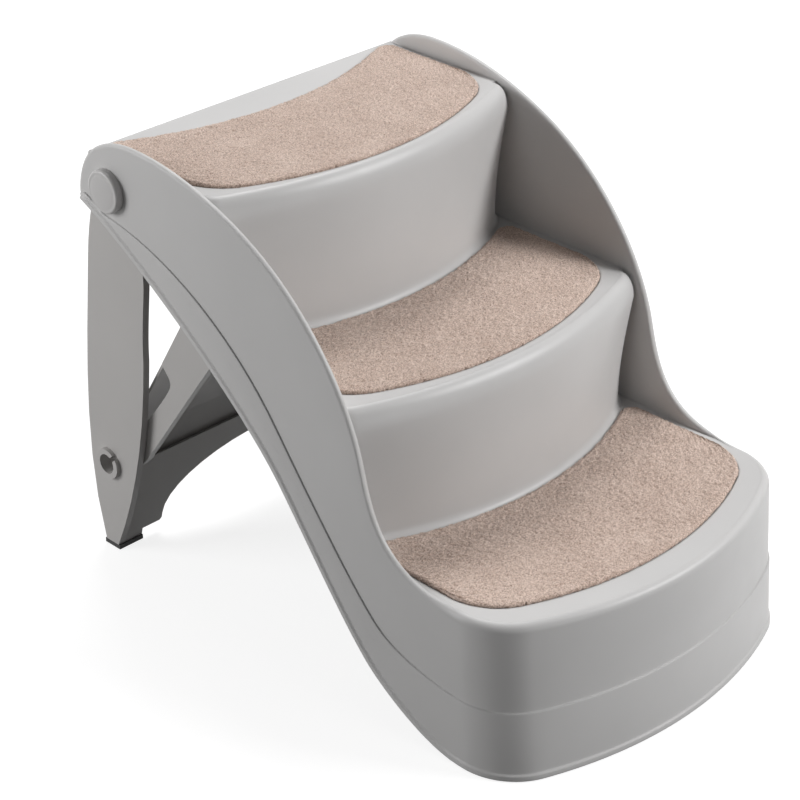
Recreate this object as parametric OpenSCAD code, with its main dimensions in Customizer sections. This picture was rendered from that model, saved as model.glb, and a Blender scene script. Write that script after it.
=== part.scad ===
// Folding pet stairs: a one-piece moulded shell with three bow-fronted, carpeted steps
// between S-curved side walls, a rear leg hinged under the top step, and a brace that
// swings out of the leg and hooks on the shell to lock the stairs open.
// The first rim point at the front lies on y = 0 before the whole is centred on its box.

/* [Steps] */
// Height of the first tread above the floor
tread_1_top = 168; // [158:1:178]
// Rise from the first tread to the second
rise_2 = 148; // [142:1:154]
// Rise from the second tread to the third
rise_3 = 154; // [148:1:160]
// Distance from the rim's front to the first nosing, on the centre line
front_flare = 8; // [6:1:12]
// Distance from the first nosing to the second
run_2 = 204; // [198:1:210]
// Distance from the second nosing to the third
run_3 = 180; // [178:1:190]
// Depth of the top step behind its nosing
top_run = 226; // [222:0.5:228]
// Radius of the bow of the upper risers, seen from above
bow_r = 390; // [375:1:405]
// Depth of the tight rounding of the first tread's edge
front_nosing_d = 7; // [5:0.5:9]
// Height of that rounding
front_nosing_h = 8; // [6:0.5:12]
// Depth of the rounded nosing of the other treads
nosing_d = 13.2; // [10:0.2:14]
// Height of their rounded nosing
nosing_h = 24; // [16:1:30]
// Depth of the fillet where a riser meets the tread below
foot_d = 4.8; // [3:0.2:6]
// Height of that fillet
foot_h = 22; // [14:1:28]
// How far a riser leans forward towards its foot
riser_draft = 2; // [1:0.5:3]
// Thickness of treads and risers
skin = 4; // [3:0.25:5]

/* [Walls] */
// Width of the shell over its side walls
shell_w = 420; // [400:2:440]
// Thickness of a side wall at its top edge
wall_top_t = 6.5; // [5:0.25:8]
// Thickness of a side wall at its lower edge
wall_low_t = 3.5; // [3:0.25:5]
// Height of the walls above the top tread
wall_rise = 21; // [14:1:26]
// How far the walls reach behind the top step
wall_overhang = 12.5; // [11:0.5:16]
// Width of the lip round the lower edge
lip_w = 3; // [2:0.5:4]
// Height of the lip round the lower edge
lip_h = 5; // [4:0.5:7]
// Height of the styling line at the front
line_h = 74; // [66:1:80]
// Step in the wall at the styling line
line_step = 1.2; // [0.6:0.1:1.4]
// Radius of the bow of the rim, seen from above
rim_bow_r = 450; // [420:1:500]
// Radius of the rim's front corners
rim_corner_r = 75; // [60:1:85]
// Radius of the bow of the first tread's edge
tread_bow_r = 375; // [350:1:410]
// Radius of the first tread's front corners
tread_corner_r = 76; // [66:1:84]
// Clearance of the rim above the floor
rim_clear = 1; // [0.5:0.1:2]

/* [Carpets] */
// Width of a carpet
carpet_w = 388; // [370:1:390]
// Thickness of a carpet with its pile
carpet_t = 4.5; // [3:0.5:7]
// Width of the bare border in front of the lower carpet
land_1 = 35.5; // [32:0.5:40]
// Width of the bare border in front of the middle carpet
land_2 = 22; // [18:0.5:26]
// Width of the bare border in front of the upper carpet
land_3 = 15.5; // [15:0.5:20]
// Gap between a carpet and the foot of the next riser
back_gap = 2; // [1.4:0.1:4]
// Depth of the upper carpet on the centre line
carpet_d = 157; // [140:0.5:158]
// Radius of the bow of a carpet's front
carpet_bow_r = 375; // [360:1:390]
// Radius of a carpet's front corners
carpet_corner_r = 62; // [50:1:66]
// Radius of a carpet's rear corners
carpet_rear_corner_r = 11; // [9:1:14]
// Depth of the recess that a carpet lies in
recess_d = 1.5; // [1.5:0.1:2]
// Gap round a carpet in its recess
recess_gap = 1.2; // [0.8:0.1:1.2]
// Thickness of the hook tape under a carpet
tape_t = 1; // [0.6:0.1:1.4]
// Width of a strip of hook tape
tape_w = 25; // [20:1:30]
// Length of a strip of hook tape
tape_l = 240; // [200:1:260]

/* [Pivot] */
// Distance from the top tread down to the leg's pivot
pivot_drop = 33; // [32:0.5:36]
// Distance from the pivot back to the walls' rear ends
pivot_to_end = 46; // [42:1:50]
// Diameter of a pivot pin's shank
shank_dia = 16; // [12:1:18]
// Diameter of a pivot pin's head
button_dia = 45; // [38:1:48]
// Height of a pivot pin's head
button_h = 9; // [6:0.5:10]
// Radial clearance of a shank in its hole
shank_clear = 0.05; // [0.02:0.01:0.1]
// Side clearance between pieces that turn on each other
side_clear = 0.5; // [0.4:0.1:1]
// Diameter of a retaining washer
washer_dia = 30; // [24:1:34]
// Thickness of a retaining washer
washer_t = 2; // [1.5:0.5:3]
// Diameter of a pivot screw's head
screw_head_dia = 11; // [9:0.5:13]
// Height of a pivot screw's head
screw_head_h = 3; // [2:0.5:3.5]
// Diameter of a pivot screw's shank
screw_dia = 5; // [4:0.5:6]
// Length of a pivot screw's shank
screw_l = 14; // [10:1:16]

/* [Rear leg] */
// Thickness of a leg cheek
cheek_t = 4; // [3:0.25:5]
// Width of the flange round a cheek
cheek_flange_w = 8; // [6:0.5:8]
// Thickness of that flange
cheek_flange_t = 3; // [2.5:0.25:4]
// Setback of the pivot from the sole, measured along the floor
sole_back = 46; // [40:1:50]
// Depth of the sole
sole_d = 20; // [16:1:24]
// Height of the cross panel's top edge
panel_top = 112; // [108:1:114]
// Thickness of the cross panels
panel_t = 3.5; // [3:0.25:5]
// Half width of the arch under the cross panel
arch_half_w = 141; // [120:1:145]
// Height of the arch's crown
arch_top = 84; // [66:1:88]
// Height at which the arch springs
arch_foot = 22; // [17:1:26]

/* [Brace] */
// Diameter of the split bosses that the brace turns on
boss_dia = 34; // [28:1:36]
// Diameter of the hole in a split boss
boss_hole_dia = 22; // [16:1:24]
// Height of a split boss outside its cheek
boss_proud = 4.5; // [3:0.5:5]
// Width of the slot in a split boss
boss_slot = 5; // [3:0.5:6]
// Distance from the pivot back to the brace's hinge
hinge_back = 41.5; // [40.5:0.25:42]
// Height of the brace's hinge
hinge_z = 106; // [104:0.5:108]
// Thickness of a brace cheek
brace_cheek_t = 3.5; // [3:0.25:4.5]
// Distance of a latch pin in front of the line through the brace's hinge
latch_offset = 39.3; // [38:0.1:41]
// Thickness of the brace's web
web_t = 3; // [2.5:0.25:4]
// Diameter of the shell's latch pins
latch_dia = 9; // [7:0.5:10]
// Clearance of a latch hook round its pin
latch_clear = 0.3; // [0.2:0.05:0.5]
// Thickness of a latch hook
hook_t = 9; // [6:0.5:10]

/* [Pads] */
// Thickness of a front floor pad
pad_t = 3; // [2:0.5:4]
// Length of a front floor pad
pad_l = 44; // [30:1:60]
// Width of a front floor pad
pad_w = 22; // [14:1:26]
// Height of a leg's foot pad
shoe_h = 5; // [4:0.5:7]

/* [Hidden] */
$fn = 96;

// Overrun of a cut past the face that it opens
over = 1;
// Overlap of two pieces of one moulding where they join
bond = 2;

half_w = shell_w / 2;
tread_2_top = tread_1_top + rise_2;
tread_3_top = tread_2_top + rise_3;
tread_tops = [tread_1_top, tread_2_top, tread_3_top];
nosing_1_y = front_flare;
nosing_2_y = nosing_1_y + run_2;
nosing_3_y = nosing_2_y + run_3;
nosing_ys = [nosing_1_y, nosing_2_y, nosing_3_y];
shell_rear_y = nosing_3_y + top_run;
wall_rear_y = shell_rear_y + wall_overhang;
wall_top_z = tread_3_top + wall_rise;
wall_inner_x = half_w - wall_top_t;
pivot_y = wall_rear_y - pivot_to_end;
pivot_z = tread_3_top - pivot_drop;

// A bowed outline, seen from above: a front arc, then a corner arc that ends on the side.
// An outline is [front radius, corner radius, side x, front y].
function bow_center_y(o) = o[3] + o[0];
function corner_x(o) = o[2] - o[1];
function corner_y(o) = bow_center_y(o) - sqrt(pow(o[0] - o[1], 2) - pow(corner_x(o), 2));
function bow_angle(o) = asin(corner_x(o) / (o[0] - o[1]));
// The point whose outward normal is turned by a from straight ahead
function bow_point(o, a) = a < bow_angle(o)
    ? [o[0] * sin(a), bow_center_y(o) - o[0] * cos(a)]
    : [corner_x(o) + o[1] * sin(a), corner_y(o) - o[1] * cos(a)];
// The same outline moved out by n, about the same centres
function grown(o, n) = [o[0] + n, o[1] + n, o[2] + n, o[3] - n];

rim_outline = [rim_bow_r, rim_corner_r, half_w, lip_w];
tread_outline = [tread_bow_r, tread_corner_r, half_w, nosing_1_y];
riser_side_x = half_w - wall_low_t;
// An arc with the risers' bow, as points from the middle to a side wall's inside
arc_parts = 10;
function arc_points(r, y) =
    let (end = asin(riser_side_x / r))
    [for (m = [0 : arc_parts])
        [r * sin(end * m / arc_parts), y + r - r * cos(end * m / arc_parts)]];
// Depth of riser k's line at x
function riser_y(k, x) = nosing_ys[k] + bow_r - sqrt(pow(bow_r, 2) - x * x);

function mix(a, b, t) = a + (b - a) * t;
// A smooth step from 0 to 1
function eased(t) = let (c = max(0, min(1, t))) c * c * (3 - 2 * c);
function bezier(p, t) = pow(1 - t, 3) * p[0] + 3 * t * pow(1 - t, 2) * p[1]
    + 3 * t * t * (1 - t) * p[2] + pow(t, 3) * p[3];
// A chain of curves that share their end points, from a list of 3 n + 1 control points
function chain(points, steps) = [
    for (k = [0 : 3 : len(points) - 4], s = [(k == 0 ? 0 : 1) : steps])
        bezier([for (m = [0 : 3]) points[k + m]], s / steps)];
// Shares of a box from one corner to the other
function in_box(shares, low, high) = [
    for (s = shares) [mix(low[0], high[0], s[0]), mix(low[1], high[1], s[1])]];

// The walls' top edge: shares of the box from the first tread's corner to the rear end
top_edge_shares = [[0, 0], [0.175, 0], [0.208, 0.146], [0.235, 0.322],
                   [0.267, 0.523], [0.379, 0.771], [0.554, 0.895],
                   [0.641, 0.957], [0.738, 1], [0.84, 1],
                   [0.927, 1], [1, 0.935], [1, 0.793]];
wall_front_y = corner_y(tread_outline);
edge_steps = 7;
top_edge = chain(in_box(top_edge_shares, [wall_front_y, tread_1_top],
                        [wall_rear_y, wall_top_z]), edge_steps);

// The walls' lower edge and the styling line: shares of the box from the rim's corner
// to the tab behind the pivot
tab_drop = 22;
low_front_y = corner_y(rim_outline);
low_box = [[low_front_y, rim_clear], [wall_rear_y - lip_w, pivot_z - tab_drop]];
low_edge_shares = [[0, 0], [0.07, 0], [0.156, 0.06], [0.21, 0.112],
                   [0.271, 0.168], [0.376, 0.358], [0.457, 0.488],
                   [0.562, 0.657], [0.852, 0.915], [1, 1]];
low_edge = chain(in_box(low_edge_shares, low_box[0], low_box[1]), edge_steps);
line_share = line_h / (low_box[1][1] - low_box[0][1]);
line_shares = [[0, line_share], [0.061, line_share], [0.156, 0.2], [0.204, 0.245],
               [0.261, 0.299], [0.385, 0.5], [0.46, 0.624],
               [0.56, 0.802], [0.757, 0.983], [1, 0.99]];
line_edge = chain(in_box(line_shares, low_box[0], low_box[1]), edge_steps);

function low_z(y) = lookup(y, low_edge);
function line_z(y) = lookup(y, line_edge);
// How much longer an edge is than its run, at y, so that a lip keeps its height
slope_run = 4;
slope_cap = 2.2;
function stretch(edge, y) = min(slope_cap, sqrt(1 + pow(
    (lookup(y + slope_run, edge) - lookup(y - slope_run, edge)) / (2 * slope_run), 2)));

// Length over which the fascia's nosing turns into the walls' top edge
blend_l = 45;
// The skirt's columns: [bottom point, top point, turn, low z, high z, frontness]
front_turns = [0, 5, 10, 15, 20, 25, 32, 40, 50, 60, 70, 80];
front_columns = [for (a = front_turns)
    [bow_point(rim_outline, a), bow_point(tread_outline, a), a, rim_clear, tread_1_top, 1]];
blend_end = wall_front_y + blend_l;
side_columns = [for (p = top_edge)
    let (s = (p[0] - wall_front_y) / (wall_rear_y - wall_front_y),
         y = mix(low_front_y, low_box[1][0], s))
    [[half_w, y], [half_w, p[0]], 90, low_z(y), p[1],
     eased(1 - (p[0] - wall_front_y) / blend_l)]];
half_columns = concat(front_columns, side_columns);

// The section of a column as [depth inwards, height], outside first, then over the top
round_turns = [15, 30, 45, 60, 75, 90];
top_turns = [70, 45, 20];
nose_turns = [90, 60, 30, 0];
down_shares = [0.2, 0.4, 0.7, 1];
inner_share = 0.6;
// The lip's flat, as a share of its height
lip_share = 0.8;
// The most that lip and top rounding take of a low wall, and the least left above the line
lip_most_share = 0.2;
round_most_share = 0.25;
line_top_share = 0.33;
tongue = front_nosing_d + 2 * bond;
function outer_section(c) =
    let (h = c[4] - c[3], y = c[0][1], f = c[5], side = c[2] == 90,
         k = side ? stretch(low_edge, y) : 1, kt = side ? stretch(top_edge, c[1][1]) : 1,
         lip = min(lip_h * k, h * lip_most_share),
         guess = (line_z(y) - c[3]) / h,
         line_y = mix(c[0][1], c[1][1], guess),
         line = side ? max(c[3] + lip + 2 * line_step, min(line_z(line_y), c[4] - h * line_top_share))
                     : c[3] + line_h,
         a = mix(wall_top_t / 2, front_nosing_d, f),
         b = mix(min(wall_top_t / 2 * kt, h * round_most_share), front_nosing_h, f))
    concat([[-lip_w, c[3]], [-lip_w, c[3] + lip * lip_share], [-line_step, c[3] + lip],
            [-line_step, line], [0, line + line_step / 2], [0, c[4] - b]],
           [for (t = round_turns) [a * (1 - cos(t)), c[4] - b * (1 - sin(t))]]);
function inner_section(c) =
    let (h = c[4] - c[3], f = c[5], kt = c[2] == 90 ? stretch(top_edge, c[1][1]) : 1,
         r = wall_top_t / 2, b = min(r * kt, h * round_most_share), low = c[3], high = c[4],
         drop = front_nosing_h - skin,
         side = concat([for (t = top_turns) [r * (1 + cos(t)), high - b * (1 - sin(t))]],
                       [[wall_top_t, high - b]],
                       [for (t = down_shares)
                           [mix(wall_top_t, wall_low_t, t), mix(high - b, low, t)]]),
         front = concat([[tongue, high], [tongue, high - skin]],
                        [for (t = nose_turns)
                            [front_nosing_d - (front_nosing_d - wall_low_t) * cos(t),
                             high - front_nosing_h + drop * sin(t)]],
                        [[wall_low_t, mix(high, low, inner_share)], [wall_low_t, low]]))
    [for (m = [0 : len(side) - 1]) mix(side[m], front[m], f)];
function section(c) = concat(outer_section(c), inner_section(c));
function column_points(c) =
    let (dir = [sin(c[2]), -cos(c[2])])
    [for (p = section(c))
        let (q = mix(c[0], c[1], (p[1] - c[3]) / (c[4] - c[3])) - p[0] * dir) [q[0], q[1], p[1]]];
function mirrored(points) = [for (p = points) [-p[0], p[1], p[2]]];

half_rings = [for (c = half_columns) column_points(c)];
rings = concat([for (m = [len(half_rings) - 1 : -1 : 0]) half_rings[m]],
               [for (m = [1 : len(half_rings) - 1]) mirrored(half_rings[m])]);

// One closed surface through rings of equal length, with both ends capped
module loft(rings) {
    n = len(rings[0]);
    last = (len(rings) - 1) * n;
    polyhedron(
        points = [for (r = rings, p = r) p],
        faces = concat(
            [[for (m = [0 : n - 1]) m], [for (m = [n - 1 : -1 : 0]) last + m]],
            [for (k = [0 : len(rings) - 2], m = [0 : n - 1])
                let (a = k * n + m, b = k * n + (m + 1) % n) [a, a + n, b]],
            [for (k = [0 : len(rings) - 2], m = [0 : n - 1])
                let (a = k * n + m, b = k * n + (m + 1) % n) [a + n, b + n, b]]));
}

// The riser's section as [distance out from the nosing line, height], skin thickness all along
arc_turns = [0 : 15 : 90];
function riser_section(top, base) =
    let (foot = riser_draft + foot_d, back = -nosing_d - 2 * bond, toe = foot + 2 * bond)
    concat([[back, top]],
           [for (t = arc_turns) [-nosing_d * (1 - sin(t)), top - nosing_h * (1 - cos(t))]],
           [for (t = arc_turns) [foot - foot_d * cos(t), base + foot_h * (1 - sin(t))]],
           [[toe, base], [toe, base - skin + bond / 2]],
           [for (t = arc_turns)
               [foot - (foot_d + skin) * sin(t), base + foot_h - (foot_h + skin) * cos(t)]],
           [for (t = arc_turns)
               [-nosing_d + (nosing_d - skin) * cos(t),
                top - nosing_h + (nosing_h - skin) * sin(t)]],
           [[back, top - skin + bond / 2]]);

module placed() {
    translate([0, -leg_back_y / 2, 0]) children();
}

module both_sides() {
    children();
    mirror([1, 0, 0]) children();
}

// A turned piece whose axis runs outwards along +X from the plane x
module turned(x, y, z) {
    translate([x, y, z]) rotate([0, 90, 0]) children();
}

// A riser reaches this far into the side walls before it is trimmed to them
riser_run_in = 3;
module riser(k) {
    end = asin((riser_side_x + riser_run_in) / (bow_r - nosing_d - 2 * bond));
    translate([0, nosing_ys[k] + bow_r, 0])
        rotate([0, 0, 270 - end])
            rotate_extrude(angle = 2 * end, $fn = 180)
                translate([bow_r, 0]) polygon(riser_section(tread_tops[k], tread_tops[k - 1]));
}

// The turns at which a tread's or a carpet's front edge is drawn
plate_turns = [for (a = [0 : 3 : 27]) a];
plate_corner_turns = [30, 40, 50, 60, 70, 80, 90];
function plate_edge(o) = [for (a = concat(plate_turns, plate_corner_turns)) bow_point(o, a)];
function both_halves(points) = concat(
    [for (m = [len(points) - 1 : -1 : 1]) [-points[m][0], points[m][1]]], points);
// A tread's flat, from half of its front and half of its back, both from the middle to a wall
module plate(front, back, top) {
    backs = both_halves(back);
    translate([0, 0, top - skin]) linear_extrude(skin)
        polygon(concat(both_halves(front),
                       [for (m = [len(backs) - 1 : -1 : 0]) backs[m]]));
}

function tread_flat(k) = arc_points(bow_r - nosing_d - bond, nosing_ys[k] + nosing_d + bond);
function riser_foot(k) = arc_points(bow_r + riser_draft + foot_d + bond,
                                    nosing_ys[k] - riser_draft - foot_d - bond);

module treads() {
    plate(concat(plate_edge(grown(tread_outline, -front_nosing_d - bond)),
                 [[riser_side_x, blend_end]]),
          riser_foot(1), tread_1_top);
    plate(tread_flat(1), riser_foot(2), tread_2_top);
    plate(tread_flat(2), [[0, shell_rear_y - rear_edge_r],
                          [riser_side_x, shell_rear_y - rear_edge_r]], tread_3_top);
}

// The rear edge of the top step: a rounded edge and a stiffening flange
rear_edge_r = 6;
rear_flange_h = 20;
flange_clear = 1.5;
module rear_edge() {
    translate([-riser_side_x, 0, 0])
        rotate([90, 0, 90])
            linear_extrude(2 * riser_side_x)
                difference() {
                    union() {
                        translate([shell_rear_y - rear_edge_r, tread_3_top - rear_edge_r])
                            circle(rear_edge_r);
                        translate([shell_rear_y - rear_edge_r - 2 * bond, tread_3_top - skin])
                            square([2 * bond, skin]);
                    }
                    translate([shell_rear_y - rear_edge_r, tread_3_top - rear_edge_r])
                        circle(rear_edge_r - skin);
                }
}

// The flange under that edge, between the leg's cheeks
module rear_flange() {
    half = cheek_outer_x - cheek_flange_w - flange_clear;
    translate([-half, shell_rear_y - skin, tread_3_top - rear_flange_h])
        cube([2 * half, skin, rear_flange_h - rear_edge_r + bond / 2]);
}

// Stiffening ribs under the treads and behind the risers
rib_t = 3;
rib_h = 13;
rib_spread = 92;
module rib(x) {
    // Back faces of the risers at this x, and the undersides of the treads
    y1 = bow_center_y(tread_outline) - sqrt(pow(tread_bow_r, 2) - x * x) + front_nosing_d;
    y2 = riser_y(1, x) + (skin - riser_draft) / 2;
    y3 = riser_y(2, x) + (skin - riser_draft) / 2;
    u1 = tread_1_top - skin / 2;
    u2 = tread_2_top - skin / 2;
    u3 = tread_3_top - skin / 2;
    h = rib_h + skin / 2;
    translate([x - rib_t / 2, 0, 0])
        rotate([90, 0, 90])
            linear_extrude(rib_t)
                polygon([[y1, u1], [y2 - foot_d, u1], [y2, u1 + foot_h], [y2, u2 - nosing_h],
                         [y2 + nosing_d, u2],
                         [y3 - foot_d, u2], [y3, u2 + foot_h], [y3, u3 - nosing_h],
                         [y3 + nosing_d, u3],
                         [shell_rear_y - skin / 2, u3], [shell_rear_y - skin / 2, u3 - h],
                         [y3 + nosing_d + rib_h, u3 - h], [y3 + rib_h, u3 - nosing_h - h],
                         [y3 + rib_h, u2 - h / 2], [y3 + rib_h - foot_d, u2 - h],
                         [y2 + nosing_d + rib_h, u2 - h], [y2 + rib_h, u2 - nosing_h - h],
                         [y2 + rib_h, u1 - h / 2], [y2 + rib_h - foot_d, u1 - h],
                         [y1 + rib_h, u1 - h]]);
}

// Latch pins between lugs behind the third riser, where the brace's hooks drop on
latch_back = 58;
latch_y = nosing_3_y + latch_back;
latch_z = tread_2_top + latch_dia / 2 - bond;
hook_x = 158;
lug_t = 3;
lug_wall = 4;
lug_r = latch_dia / 2 + lug_wall;
lug_gap = hook_t + 2 * side_clear;
module latch_seat() {
    back_y = riser_y(2, hook_x) + (skin - riser_draft) / 2;
    for (x = [hook_x - lug_gap / 2 - lug_t, hook_x + lug_gap / 2])
        translate([x, 0, 0]) rotate([90, 0, 90]) linear_extrude(lug_t) union() {
            translate([latch_y, latch_z]) circle(lug_r);
            translate([back_y, latch_z - lug_r]) square([latch_y - back_y, 2 * lug_r]);
        }
    turned(hook_x - lug_gap / 2 - bond, latch_y, latch_z)
        cylinder(h = lug_gap + 2 * bond, d = latch_dia);
}

// Shelves inside the rim that carry the front floor pads
pad_turn = 14;
shelf_t = 3;
shelf_rim = 3;
module at_pad() {
    translate([0, bow_center_y(rim_outline), 0]) rotate([0, 0, pad_turn])
        translate([0, -rim_bow_r, 0]) children();
}
pad_set = wall_low_t + shelf_rim;
module pad_shelf() {
    at_pad() translate([-pad_l / 2 - shelf_rim, wall_low_t - bond, pad_t])
        cube([pad_l + 2 * shelf_rim, pad_w + 2 * shelf_rim + bond, shelf_t]);
}

// Trims a riser or a tread to the space between the walls
module between_walls() {
    intersection() {
        children();
        translate([-riser_side_x, 0, 0]) cube([2 * riser_side_x, shell_rear_y, tread_3_top]);
    }
}

boss_ring_r = 20;
wall_to_cheek = 3.8;
cheek_outer_x = wall_inner_x - wall_to_cheek;
module step_shell() {
    color([0.69, 0.68, 0.68]) placed() difference() {
        union() {
            loft(rings);
            between_walls() riser(1);
            between_walls() riser(2);
            between_walls() treads();
            rear_edge();
            rear_flange();
            for (x = [-rib_spread, 0, rib_spread]) rib(x);
            both_sides() {
                latch_seat();
                pad_shelf();
                turned(cheek_outer_x + side_clear, pivot_y, pivot_z)
                    cylinder(h = riser_side_x - cheek_outer_x - side_clear, r = boss_ring_r);
            }
        }
        both_sides() turned(cheek_outer_x, pivot_y, pivot_z)
            cylinder(h = half_w - cheek_outer_x + over, r = shank_dia / 2 + shank_clear);
        for (k = [0 : 2]) translate([0, 0, tread_tops[k] - recess_d])
            linear_extrude(recess_d + over) polygon(carpet_outline(k, recess_gap));
    }
}

lands = [land_1, land_2, land_3];
function carpet_front(k) = nosing_ys[k] + lands[k];
function carpet_depth(k) = k == 2 ? carpet_d
    : nosing_ys[k + 1] - riser_draft - foot_d - back_gap - carpet_front(k);
// A carpet's outline: a bowed front with round corners, straight sides, a bowed back
function carpet_outline(k, grow) =
    let (o = grown([carpet_bow_r, carpet_corner_r, carpet_w / 2, carpet_front(k)], grow),
         back_r = bow_r + riser_draft + foot_d + back_gap,
         back_y = carpet_front(k) + carpet_depth(k) + grow,
         q = carpet_rear_corner_r,
         side = carpet_w / 2 + grow,
         start = asin((side - q) / (back_r + q)),
         cy = back_y + back_r - (back_r + q) * cos(start),
         half = concat([for (a = concat(plate_turns, plate_corner_turns)) bow_point(o, a)],
                       [for (a = [0 : 15 : 90 - start]) [side - q + q * cos(a), cy + q * sin(a)]],
                       [for (a = [start : -3 : 3])
                           [back_r * sin(a), back_y + back_r - back_r * cos(a)]]))
    concat([for (m = [len(half) - 1 : -1 : 1]) [-half[m][0], half[m][1]]], half);

module carpet(k) {
    color([0.75, 0.62, 0.55]) placed()
        translate([0, 0, tread_tops[k] - recess_d + tape_t])
            linear_extrude(carpet_t) polygon(carpet_outline(k, 0));
}

// Two strips of hook tape under a carpet
tape_in_shares = [0.36, 0.72];
module hook_tape(k) {
    front_y = carpet_front(k);
    depth = carpet_depth(k);
    color([0.2, 0.2, 0.2]) placed() for (s = tape_in_shares)
        translate([-tape_l / 2, front_y + s * depth - tape_w / 2, tread_tops[k] - recess_d])
            cube([tape_l, tape_w, tape_t]);
}

// The pivot: a headed pin from outside, a washer and a screw from inside
button_edge = 2.5;
screw_gap = 0.05;
cheek_inner_x = cheek_outer_x - cheek_t;
washer_x = cheek_inner_x - side_clear - washer_t;
module pivot_pin() {
    color([0.66, 0.65, 0.65]) placed() difference() {
        turned(washer_x + washer_t, pivot_y, pivot_z) union() {
            cylinder(h = half_w - washer_x - washer_t + bond, d = shank_dia);
            translate([0, 0, half_w - washer_x - washer_t]) rotate_extrude()
                polygon([[0, 0], [button_dia / 2, 0], [button_dia / 2, button_h - button_edge],
                         [button_dia / 2 - button_edge / 3, button_h - button_edge / 3],
                         [button_dia / 2 - button_edge, button_h], [0, button_h]]);
        }
        turned(washer_x + washer_t - over, pivot_y, pivot_z)
            cylinder(h = screw_l + 2 * over, d = screw_dia + 2 * screw_gap);
    }
}
module pivot_washer() {
    color([0.75, 0.75, 0.76]) placed() turned(washer_x, pivot_y, pivot_z) difference() {
        cylinder(h = washer_t, d = washer_dia);
        translate([0, 0, -over]) cylinder(h = washer_t + 2 * over, d = screw_dia + 2 * screw_gap);
    }
}
module pivot_screw() {
    color([0.6, 0.6, 0.62]) placed() turned(washer_x - screw_head_h, pivot_y, pivot_z) union() {
        cylinder(h = screw_head_h, d = screw_head_dia);
        cylinder(h = screw_head_h + washer_t + screw_l - bond, d = screw_dia);
    }
}

module front_pad() {
    color([0.12, 0.12, 0.12]) placed() at_pad()
        translate([-pad_l / 2, pad_set, 0]) cube([pad_l, pad_w, pad_t]);
}

// The leg's cheek, seen from the side: a leaf from the pivot down to a narrow sole
sole_rear_y = pivot_y + sole_back + sole_d / 2;
sole_front_y = sole_rear_y - sole_d;
pivot_end_r = 27;
leg_h = pivot_z - shoe_h;
// Control points as shares: of the sole's setback from the pivot, and of the leg's height
back_low_shares = [[1, 0], [1.56, 0.255], [1.15, 0.567], [0.97, 0.787]];
back_high_shares = [[0.97, 0.787], [0.89, 0.88], [0.71, 0.961], [0.482, 1]];
front_high_shares = [[-0.482, 1], [-0.482, 0.938], [-0.62, 0.845], [-0.58, 0.769]];
front_mid_shares = [[-0.58, 0.769], [-0.53, 0.7], [-0.45, 0.64], [-0.45, 0.567]];
front_low_shares = [[-0.45, 0.567], [-0.34, 0.359], [0.018, 0.174], [0.643, 0]];
reach = sole_rear_y - pivot_y;
function leg_curve(shares) = [for (s = [0 : edge_steps])
    bezier([for (p = shares) [pivot_y + p[0] * reach, shoe_h + p[1] * leg_h]], s / edge_steps)];
function tail(points) = [for (m = [1 : len(points) - 1]) points[m]];
leg_outline = concat(
    leg_curve(back_low_shares),
    tail(leg_curve(back_high_shares)),
    [for (a = [15 : 15 : 165]) [pivot_y + pivot_end_r * cos(a), pivot_z + pivot_end_r * sin(a)]],
    leg_curve(front_high_shares),
    tail(leg_curve(front_mid_shares)),
    tail(leg_curve(front_low_shares)));
leg_back_y = max([for (p = leg_outline) p[0]]);

// An outline moved inwards by d, each point along its own normal
function inset(points, d) =
    let (n = len(points))
    [for (m = [0 : n - 1])
        let (t = points[(m + 1) % n] - points[(m + n - 1) % n], l = norm(t))
        points[m] + d * [-t[1], t[0]] / l];

module side_plate(points, x, t) {
    translate([x, 0, 0]) rotate([90, 0, 90]) linear_extrude(t) polygon(points);
}

// The brace's hinge, and the frame of the brace: u runs up along it, v to the rear
hinge_y = pivot_y + hinge_back;
latch_reach = norm([hinge_y - latch_y, latch_z - hinge_z]);
brace_lean = atan2(hinge_y - latch_y, latch_z - hinge_z) - asin(latch_offset / latch_reach);
seat_u = sqrt(pow(latch_reach, 2) - pow(latch_offset, 2));
function from_brace(u, v) = [hinge_y - u * sin(brace_lean) + v * cos(brace_lean),
                             hinge_z + u * cos(brace_lean) + v * sin(brace_lean)];
function in_brace(points) = [for (p = points) from_brace(p[0], p[1])];

panel_in = 30;
panel_foot_in = 6;
panel_rear_y = hinge_y - panel_in;
panel_foot_y = hinge_y - panel_foot_in;
panel_foot_z = 13;
upper_panel_h = 26;
upper_panel_drop = 35;
upper_panel_back = 34;
upper_panel_z = pivot_z - upper_panel_drop;
upper_panel_y = pivot_y + upper_panel_back;
sole_w = 28;
// Notches in the cross panel's top corners, where the brace's cheeks turn
notch_h = 12;
notch_clear = 1.5;
arch_step = 3;
boss_r = boss_dia / 2;
hinge_bore_r = boss_r + shank_clear;
arch_rise = arch_top - arch_foot;
// The opening under the cross panel: an arch between two raised soles
arch_points = concat(
    [[cheek_inner_x - sole_w, -over], [cheek_inner_x - sole_w, panel_foot_z],
     [arch_half_w + arch_step, panel_foot_z], [arch_half_w, panel_foot_z + arch_step]],
    [for (a = [0 : 10 : 180]) [arch_half_w * cos(a), arch_foot + arch_rise * sin(a)]],
    [[-arch_half_w, panel_foot_z + arch_step], [-arch_half_w - arch_step, panel_foot_z],
     [sole_w - cheek_inner_x, panel_foot_z], [sole_w - cheek_inner_x, -over]]);

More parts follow.
